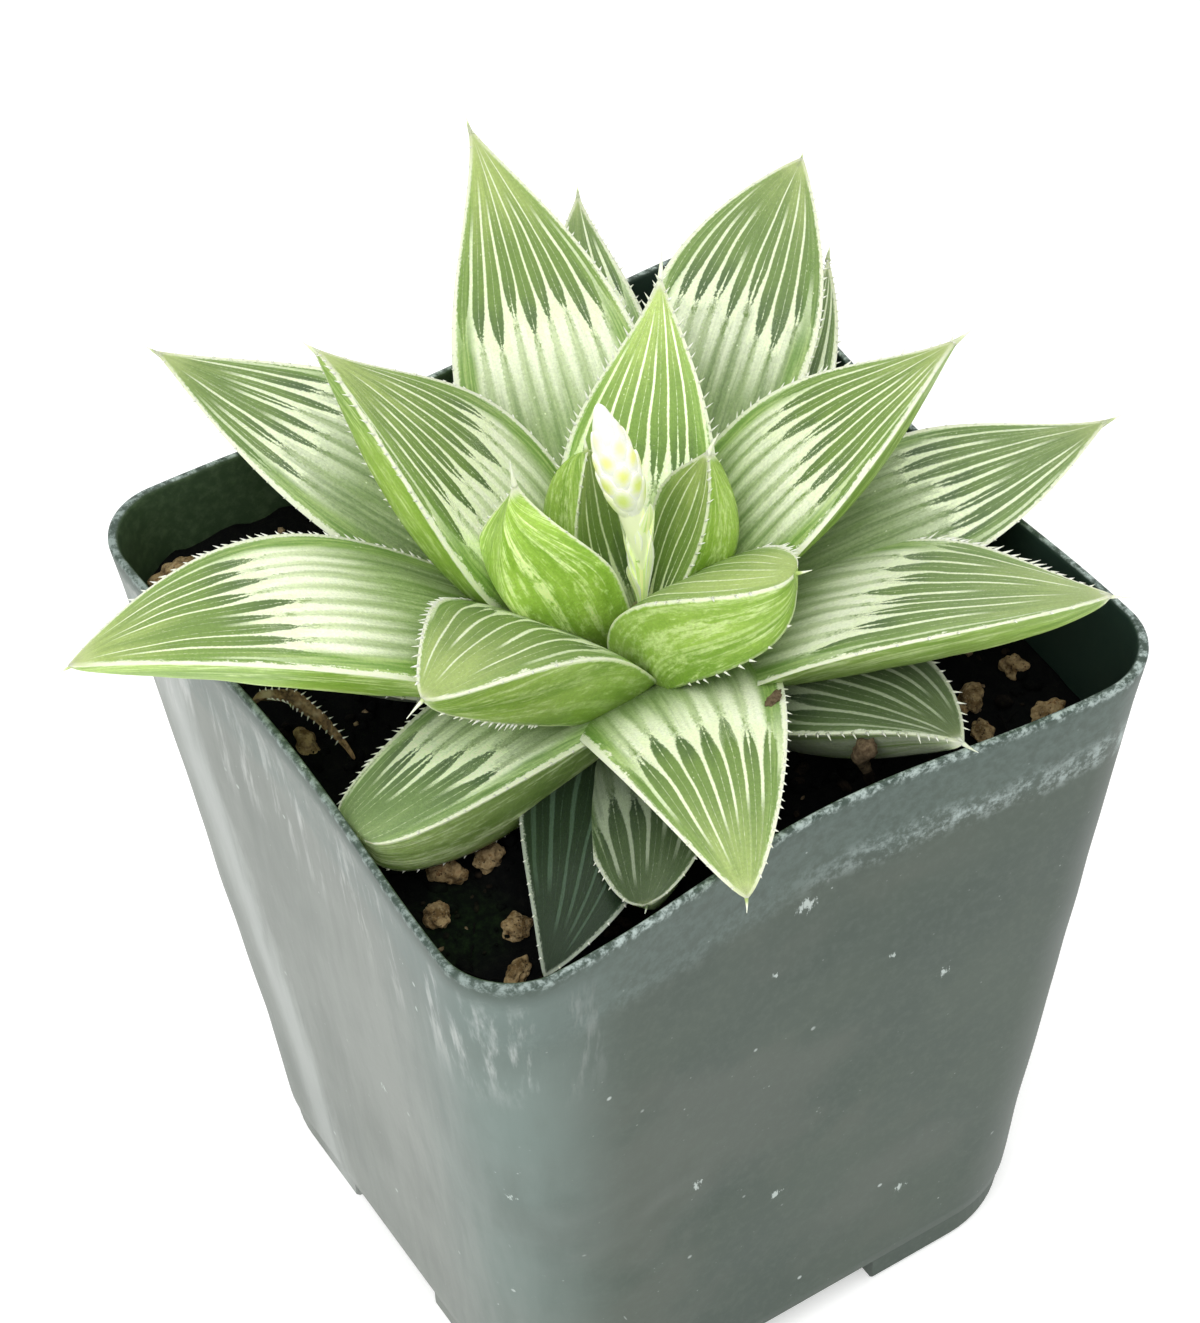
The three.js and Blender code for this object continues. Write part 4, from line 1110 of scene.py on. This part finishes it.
def pot_share(z):
    """How far up the wall a height lies, from the floor (0) to the rim (1)."""
    return (z - FOOT_HEIGHT) / (POT_HEIGHT - FOOT_HEIGHT)


def pot_half(z):
    return lerp(POT_BOTTOM_HALF, POT_TOP_HALF, pot_share(z))


def pot_outline(turn, z):
    """A point of the rounded square at a share of the way round, starting on the +X side."""
    share = min(1.0, max(0.0, pot_share(z)))
    half = lerp(POT_BOTTOM_HALF, POT_TOP_HALF, share)
    corner = lerp(POT_BOTTOM_CORNER, POT_TOP_CORNER, share)
    straight = half - corner
    side = int(turn * 4) % 4
    place = turn * 4 % 1
    if place < SIDE_SHARE:
        t = -1 + 2 * place / SIDE_SHARE
        out, along = half - RIM_SAG[side] * share ** 2 * math.cos(math.pi / 2 * t) ** 2, t * straight
    else:
        angle = (place - SIDE_SHARE) / (1 - SIDE_SHARE) * math.pi / 2
        out, along = straight + corner * math.cos(angle), straight + corner * math.sin(angle)
    quarter = math.pi / 2 * side
    return Vector((math.cos(quarter) * out - math.sin(quarter) * along,
                   math.sin(quarter) * out + math.cos(quarter) * along, z))


def square_up(vert, z, nominal):
    """Moves a point of a spun shell onto the pot's rounded square, at its share of the radius."""
    radius = math.hypot(vert.co.x, vert.co.y)
    turn = math.atan2(vert.co.y, vert.co.x) / (2 * math.pi) % 1
    place = pot_outline(turn, z) * (radius / nominal)
    place.z = vert.co.z
    vert.co = place


def make_pot(finish):
    """One moulded shell: outer wall, rolled rim, inner wall and floor, on corner feet and a centre pad."""
    profile = [(0, FOOT_HEIGHT)]
    profile += [(POT_BOTTOM_HALF * s, FOOT_HEIGHT) for s in (0.25, 0.5, 0.75, 0.94)]
    profile += [(pot_half(FOOT_HEIGHT) - 0.5, FOOT_HEIGHT + 0.1)]
    walls = [lerp(FOOT_HEIGHT + 0.7, POT_HEIGHT - 0.5, i / 56) for i in range(57)]
    profile += [(pot_half(z), z) for z in walls]
    top = pot_half(POT_HEIGHT)
    profile += [(top - 0.08, POT_HEIGHT - 0.15), (top - 0.3, POT_HEIGHT), (top - 0.7, POT_HEIGHT),
                (top - 0.92, POT_HEIGHT - 0.15)]
    profile += [(pot_half(z) - POT_WALL, z) for z in reversed(walls[6::2])]
    floor_top = FOOT_HEIGHT + POT_FLOOR
    profile += [(POT_BOTTOM_HALF * s, floor_top) for s in (0.9, 0.6, 0.3)]
    profile += [(0, floor_top)]
    bm = spun(profile, 256)
    inside = bm.verts.layers.float.new("inside")
    for vert in bm.verts:
        radius = math.hypot(vert.co.x, vert.co.y)
        vert[inside] = 1.0 if radius < pot_half(vert.co.z) - 0.8 and vert.co.z > FOOT_HEIGHT + 1 else 0.0
        square_up(vert, vert.co.z, pot_half(vert.co.z))
        out = Vector((vert.co.x, vert.co.y, 0)).normalized()
        dent = 0.35 * rough(vert.co, 26) + 0.12 * rough(vert.co, 9)
        fade = smooth(FOOT_HEIGHT, 20, vert.co.z) * (1 - 0.6 * smooth(90, POT_HEIGHT, vert.co.z))
        if vert.co.y < -30:
            off = math.hypot(vert.co.x - PRESSED_AT[0], vert.co.z - PRESSED_AT[1])
            dent += 0.5 * smooth(PRESSED_FAR, PRESSED_NEAR, off) * (rough(vert.co, 4.5) - 0.4)
        vert.co += out * (dent - 0.3) * fade
    drill_drains(finish_piece("pot_shell", bm, [finish], ["pot"]))
    make_feet(finish)


def cut_away(piece, cutter):
    """Cuts one mesh out of another and keeps only the result."""
    modifier = piece.modifiers.new("cut", "BOOLEAN")
    modifier.operation = "DIFFERENCE"
    modifier.solver = "EXACT"
    modifier.object = cutter
    cut = bpy.data.meshes.new_from_object(piece.evaluated_get(bpy.context.evaluated_depsgraph_get()))
    piece.modifiers.clear()
    piece.data = cut
    bpy.data.objects.remove(cutter)


def temporary(bm, name):
    return into_scene(name, into_mesh(bm, name, MM))


def drill_drains(piece):
    bm = bmesh.new()
    for k in range(4):
        angle = math.pi / 2 * k
        place = Vector((DRAIN_AT * math.cos(angle), DRAIN_AT * math.sin(angle), FOOT_HEIGHT))
        bmesh.ops.create_cone(bm, cap_ends=True, segments=40, radius1=DRAIN_RADIUS, radius2=DRAIN_RADIUS,
                              depth=8, matrix=Matrix.Translation(place))
    cut_away(piece, temporary(bm, "drain_cutter"))


def make_feet(finish):
    """Four corner feet under the floor and the round pad between them."""
    top = FOOT_HEIGHT + 0.2
    profile = [(0, 0)] + [(POT_BOTTOM_HALF * s, 0) for s in (0.3, 0.6, 0.85, 0.97)]
    profile += [(POT_BOTTOM_HALF - FOOT_INSET, 0.6), (POT_BOTTOM_HALF - FOOT_INSET, top)]
    profile += [(POT_BOTTOM_HALF * s, top) for s in (0.85, 0.6, 0.3)] + [(0, top)]
    bm = spun(profile, 192)
    for vert in bm.verts:
        square_up(vert, FOOT_HEIGHT, POT_BOTTOM_HALF)
    bm.verts.layers.float.new("inside")
    feet = finish_piece("pot_feet", bm, [finish])
    channel = 2 * (POT_BOTTOM_HALF - FOOT_REACH)
    for wide, deep in ((channel, 100), (100, channel)):
        cutter = bmesh.new()
        bmesh.ops.create_cube(cutter, size=1, matrix=Matrix.Diagonal((wide, deep, 20, 1)))
        cut_away(feet, temporary(cutter, "channel_cutter"))
    cutter = bmesh.new()
    bmesh.ops.create_cone(cutter, cap_ends=True, segments=64, radius1=POT_BOTTOM_HALF - 12,
                          radius2=POT_BOTTOM_HALF - 12, depth=20)
    cut_away(feet, temporary(cutter, "centre_cutter"))
    feet.data.polygons.foreach_set("use_smooth", [False] * len(feet.data.polygons))
    pad = spun([(0, 0), (PAD_RADIUS - 0.4, 0), (PAD_RADIUS, 0.4), (PAD_RADIUS, top), (0, top)], 48)
    finish_piece("pot_pad", pad, [finish], flat=True)


# ---------------------------------------------------------------- soil


CRUMBS, FIBRES = 1500, 70
CRUMB_LEAST, CRUMB_MORE = 0.25, 0.75  # half size of the finest crumb, and what the coarsest has more
FIBRE_GIRTHS = (0.1, 0.14, 0.14, 0.12, 0.07)
WALL_CLEAR, NEAR_CLEAR = 2.6, 1.2  # how far crumbs stay off the walls, and how much more off the -Y wall
GRITTY_PAST = (24, -10)  # X and Y past which the crumbs are gritty
# Places on the soil's scale of colours from black (0) to tan (1).
SOIL_TINT, FIBRE_TINT, GRIT_TINT = 0.12, 0.55, 0.91
WITHERED_ROUTE = ((12.8, -31.5, 81.6), (11.4, -33.2, 86.5), (10, -34.2, 91), (8.7, -34.7, 94.6),
                  (9, -35.6, 96.6), (10.2, -35.4, 96))
WITHERED_RINGS = 22
SCRAP_AT, SCRAP_SIZES = (2.6, -27.2, 100.4), (1.2, 0.7, 0.6)
MOSS_AT, MOSS_REACH = (-35, -23), 7.5
WHOLE_TURN = 6.3  # radians, within which crumbs and fibres are turned at random


def soil_height(x, y):
    near = math.hypot(x - STEM.x, y - STEM.y) / SOIL_DIP_RADIUS
    bump = math.sin(0.31 * x + 1.3) * math.cos(0.27 * y - 0.4) + 0.5 * math.sin(0.83 * x - 0.61 * y)
    return (SOIL_LEVEL + SOIL_SLOPE[0] * x + SOIL_SLOPE[1] * y + 0.5 * bump
            - SOIL_DIP * math.exp(-near * near))


def add_lump(bm, place, sizes, turn, detail, rag, dice):
    """A rough pebble: a sphere squashed to its half sizes and dented by noise."""
    fresh = bmesh.ops.create_icosphere(bm, subdivisions=detail, radius=1)["verts"]
    spin = Matrix.Rotation(turn, 3, "Z") @ Matrix.Rotation(dice.uniform(-0.4, 0.4), 3, "X")
    shift = Vector((dice.uniform(0, 90), dice.uniform(0, 90), 0))
    for vert in fresh:
        dent = 1 + rag * (rough(vert.co + shift, 0.9) + 0.6 * rough(vert.co + shift, 0.4))
        vert.co = Vector(place) + spin @ Vector(c * s * dent for c, s in zip(vert.co, sizes))
    return fresh


def make_soil():
    """The filled body, a crumbly surface and loose crumbs, fibres and moss on it."""
    bottom = FOOT_HEIGHT + POT_FLOOR + CLEARANCE
    top_half = pot_half(SOIL_LEVEL)
    inset = POT_WALL + 2 * CLEARANCE
    profile = [(0, bottom), (POT_BOTTOM_HALF - inset, bottom)]
    profile += [(pot_half(z) - inset, z) for z in (20, 40, 60, 75)]
    profile += [((top_half - inset) * (1 - i / 72), SOIL_LEVEL + 0.001 * (i + 1)) for i in range(72)]
    profile += [(0, SOIL_LEVEL + 0.08)]
    bm = spun(profile, 220)
    tint = bm.verts.layers.float.new("tint")
    moss = bm.verts.layers.float.new("moss")
    for vert in bm.verts:
        on_top = vert.co.z > SOIL_LEVEL - 1
        square_up(vert, vert.co.z, pot_half(min(vert.co.z, SOIL_LEVEL)))
        if on_top:
            grain = rough(vert.co, 2.2) * 0.55 + rough(vert.co, 0.9) * 0.4
            vert.co.z = soil_height(vert.co.x, vert.co.y) + grain
            vert[moss] = moss_share(vert.co)
        vert[tint] = SOIL_TINT
    dice = random.Random(8)
    reach = top_half - inset - WALL_CLEAR
    add_crumbs(bm, reach, dice)
    add_fibres(bm, reach, dice)
    join(bm, make_withered_tip())
    join(bm, make_scrap())
    finish_piece("soil_bed", bm, [soil_finish()], ["soil"])


def soil_spot(reach, dice):
    """A random place on the soil."""
    return dice.uniform(-reach, reach), dice.uniform(NEAR_CLEAR - reach, reach)


def add_crumbs(bm, reach, dice):
    """Loose crumbs, paler in the gritty corner."""
    tint, moss = (bm.verts.layers.float[name] for name in ("tint", "moss"))
    for _ in range(CRUMBS):
        x, y = soil_spot(reach, dice)
        size = CRUMB_LEAST + CRUMB_MORE * dice.random() ** 2.5
        sizes = (size * dice.uniform(0.9, 1.7), size * dice.uniform(0.7, 1.1), size * dice.uniform(0.6, 1))
        place = (x, y, soil_height(x, y) + 0.25 * size)
        gritty = x > GRITTY_PAST[0] and y < GRITTY_PAST[1]
        shade = dice.random() ** (0.7 if gritty else 1.6)
        for vert in add_lump(bm, place, sizes, dice.uniform(0, WHOLE_TURN), 1, 0.35, dice):
            vert[tint] = shade
            vert[moss] = moss_share(vert.co) * 0.6


def add_fibres(bm, reach, dice):
    """Thin fibres that lie on the soil and arch off it a little."""
    for _ in range(FIBRES):
        x, y = soil_spot(reach, dice)
        heading = Vector((math.cos(dice.uniform(0, WHOLE_TURN)), math.sin(dice.uniform(0, WHOLE_TURN)), 0))
        heading.normalize()
        length = dice.uniform(2, 5)
        start = Vector((x, y, 0)) - heading * length / 2
        route = []
        for k in range(len(FIBRE_GIRTHS)):
            spot = start + heading * length * k / (len(FIBRE_GIRTHS) - 1)
            lift = 0.5 + 0.5 * math.sin(k * 1.4 + x)
            spot.x, spot.y = max(-reach, min(reach, spot.x)), max(NEAR_CLEAR - reach, min(reach, spot.y))
            route.append(Vector((spot.x, spot.y, soil_height(spot.x, spot.y) + lift)))
        fibre = tube(route, FIBRE_GIRTHS, 5)
        mark(fibre, "tint", FIBRE_TINT)
        join(bm, fibre)


def make_withered_tip():
    """The brown curl of a dead leaf, which grows out of the soil and leans on the leaf behind it."""
    route = along_curve([Vector(p) for p in WITHERED_ROUTE], WITHERED_RINGS)
    shares = [k / (WITHERED_RINGS - 1) for k in range(WITHERED_RINGS)]
    bm = tube(route, [0.45 + 0.65 * smooth(0.3, 0.75, s) - 0.9 * smooth(0.8, 1, s) for s in shares], 12)
    tint = bm.verts.layers.float.new("tint")
    noise.seed_set(18)
    for vert in bm.verts:
        vert.co += 0.5 * noise.noise_vector(vert.co / 0.9)
        vert[tint] = lerp(0.65, GRIT_TINT, smooth(88, 92, vert.co.z))
    return bm


def make_scrap():
    """A scrap of old leaf base that lies on the leaf nearest the corner."""
    bm = bmesh.new()
    add_lump(bm, SCRAP_AT, SCRAP_SIZES, 0.5, 4, 0.7, random.Random(6))
    mark(bm, "tint", GRIT_TINT)
    return bm


def moss_share(place):
    """Where the damp corner is green."""
    near = math.hypot(place.x - MOSS_AT[0], place.y - MOSS_AT[1])
    return smooth(MOSS_REACH, MOSS_REACH / 3, near) if near < MOSS_REACH else 0.0


def make_pumice():
    finish = pumice_finish()
    for number, (x, y, rise, sx, sy, sz, turn) in enumerate(PUMICE, 1):
        bm = bmesh.new()
        dice = random.Random(40 + number)
        add_lump(bm, (x, y, soil_height(x, y) + rise), (sx, sy, sz), turn, 5, 0.42, dice)
        finish_piece(f"pumice_stone_{number}", bm, [finish], [f"pumice_{number}"])


# ---------------------------------------------------------------- stem and dry leaf


STEM_RINGS = 24


def make_stem():
    """The short stem with the scars of old leaves round it."""
    profile = [(0, STEM_BOTTOM)]
    for i in range(STEM_RINGS + 1):
        t = i / STEM_RINGS
        scar = 0.15 * math.sin(t * 40) * (1 - t)
        radius = lerp(STEM_BOTTOM_RADIUS, STEM_TOP_RADIUS, t) - 0.2 + scar
        profile.append((radius, lerp(STEM_BOTTOM, STEM_TOP, t)))
    profile.append((0, STEM_TOP))
    bm = spun(profile, 48)
    bmesh.ops.translate(bm, vec=STEM, verts=bm.verts)
    for vert in bm.verts:
        vert.co += Vector((rough(vert.co, 4), rough(vert.co + Vector((9, 0, 0)), 4), 0)) * 0.2
    finish_piece("stem_core", bm, [stem_finish()], ["stem"])


DRY_ROUTE = ((-40.6, 11.6, 92.5), (-38.6, 12.4, 91.6), (-36, 11.8, 90.2), (-34.6, 9.4, 89.1),
             (-33.4, 6.2, 87.6), (-33, 3, 86.4))
DRY_SWELL = 0.85  # how much wider its middle is than its ends, to each side
DRY_RINGS = 44


def dry_frame(points, index):
    """The way ahead, across and up at one point of the dry leaf's middle line."""
    ahead = (points[min(index + 1, DRY_RINGS - 1)] - points[max(index - 1, 0)]).normalized()
    side = Vector((0, 0, 1)).cross(ahead).normalized()
    return ahead, side, ahead.cross(side)


def dry_width(t):
    return 0.2 + DRY_SWELL * math.sin(math.pi * t ** 0.8) ** 1.4 if 0 < t < 1 else 0.12


def make_dry_leaf(tooth):
    """A withered leaf, curled along its length, that hangs from the wall onto the soil."""
    points = along_curve([Vector(p) for p in DRY_ROUTE], DRY_RINGS)
    bm = tube(points, [1] * DRY_RINGS, 16)
    last = DRY_RINGS - 1
    for vert in bm.verts:
        index = min(range(DRY_RINGS), key=lambda k: (points[k] - vert.co).length)
        _, side, up = dry_frame(points, index)
        across = (vert.co - points[index]).dot(side)
        above = (vert.co - points[index]).dot(up)
        t = index / last
        wide = dry_width(t)
        curl = 0.5 * across * across * wide + 0.12 * math.sin(26 * t + 3 * across)
        vert.co = points[index] + side * across * wide + up * (above * 0.16 + curl - 0.2)
    face_outward(bm)
    dice = random.Random(3)
    for index in range(8, 38, 2):
        ahead, side, up = dry_frame(points, index)
        wide = dry_width(index / last)
        for hand in (1, -1):
            root = points[index] + side * hand * wide + up * (0.5 * wide - 0.2)
            add_tooth(bm, root, (side * hand + ahead * 0.4 + up * 0.3).normalized(),
                      dice.uniform(0.5, 0.8), 0.14, 1)
    finish_piece("dry_leaf_curl", bm, (dry_leaf_finish(), tooth), ["dry_leaf"])


# ---------------------------------------------------------------- stage, light and camera

CAMERA_AZIMUTH, CAMERA_ELEVATION, CAMERA_ROLL = -30.2, 45.5, -3.2  # degrees
CAMERA_DISTANCE = 430.6
CAMERA_TARGET = Vector((4.1, 11.6, 73.0))
FOCAL_PIXELS = 3630
IMAGE_HEIGHT = 1323
SENSOR = 36.0
FLOOR_HALF = 6  # metres, as the lamps' measures are
LAMP_SIZE = 0.7
LAMP_TARGET = Vector((0, 0, 0.08))
WORLD_LIGHT = 0.7


def make_camera():
    a, e = math.radians(CAMERA_AZIMUTH), math.radians(CAMERA_ELEVATION)
    back = Vector((math.sin(a) * math.cos(e), -math.cos(a) * math.cos(e), math.sin(e)))
    camera = into_scene("camera", bpy.data.cameras.new("camera"))
    camera.data.sensor_width = SENSOR
    camera.data.lens = FOCAL_PIXELS * SENSOR / IMAGE_HEIGHT
    camera.data.clip_start, camera.data.clip_end = 0.01, 20
    camera.location = (CAMERA_TARGET + back * CAMERA_DISTANCE) * MM
    camera.rotation_mode = "QUATERNION"
    roll = Quaternion((0, 0, 1), math.radians(CAMERA_ROLL))
    camera.rotation_quaternion = (-back).to_track_quat("-Z", "Y") @ roll
    bpy.context.scene.camera = camera


def make_area_light(name, place, power):
    """A soft square lamp, in metres, that faces the plant."""
    light = bpy.data.lights.new(name, "AREA")
    light.shape = "SQUARE"
    light.size = LAMP_SIZE
    light.energy = power
    lamp = into_scene(name, light)
    lamp.location = place
    lamp.rotation_euler = (LAMP_TARGET - Vector(place)).to_track_quat("-Z", "Y").to_euler()


def make_stage():
    bm = bmesh.new()
    bmesh.ops.create_grid(bm, x_segments=1, y_segments=1, size=FLOOR_HALF)
    floor = into_scene("floor", into_mesh(bm, "floor"))
    floor.data.materials.append(floor_finish())
    world = bpy.data.worlds.new("studio")
    world.use_nodes = True
    background = world.node_tree.nodes["Background"].inputs
    background["Color"].default_value = (1, 1, 1, 1)
    background["Strength"].default_value = WORLD_LIGHT
    bpy.context.scene.world = world
    make_area_light("key", (-0.45, -0.35, 0.8), 4.6)
    make_area_light("top", (0.2, 0.1, 0.95), 1.8)
    bpy.context.scene.view_settings.view_transform = "Standard"


# ---------------------------------------------------------------- the object

make_camera()
make_stage()
make_leaves()
make_flower()
make_pot(pot_finish())
make_soil()
make_pumice()
make_stem()
make_dry_leaf(bpy.data.materials["tooth_cream"])
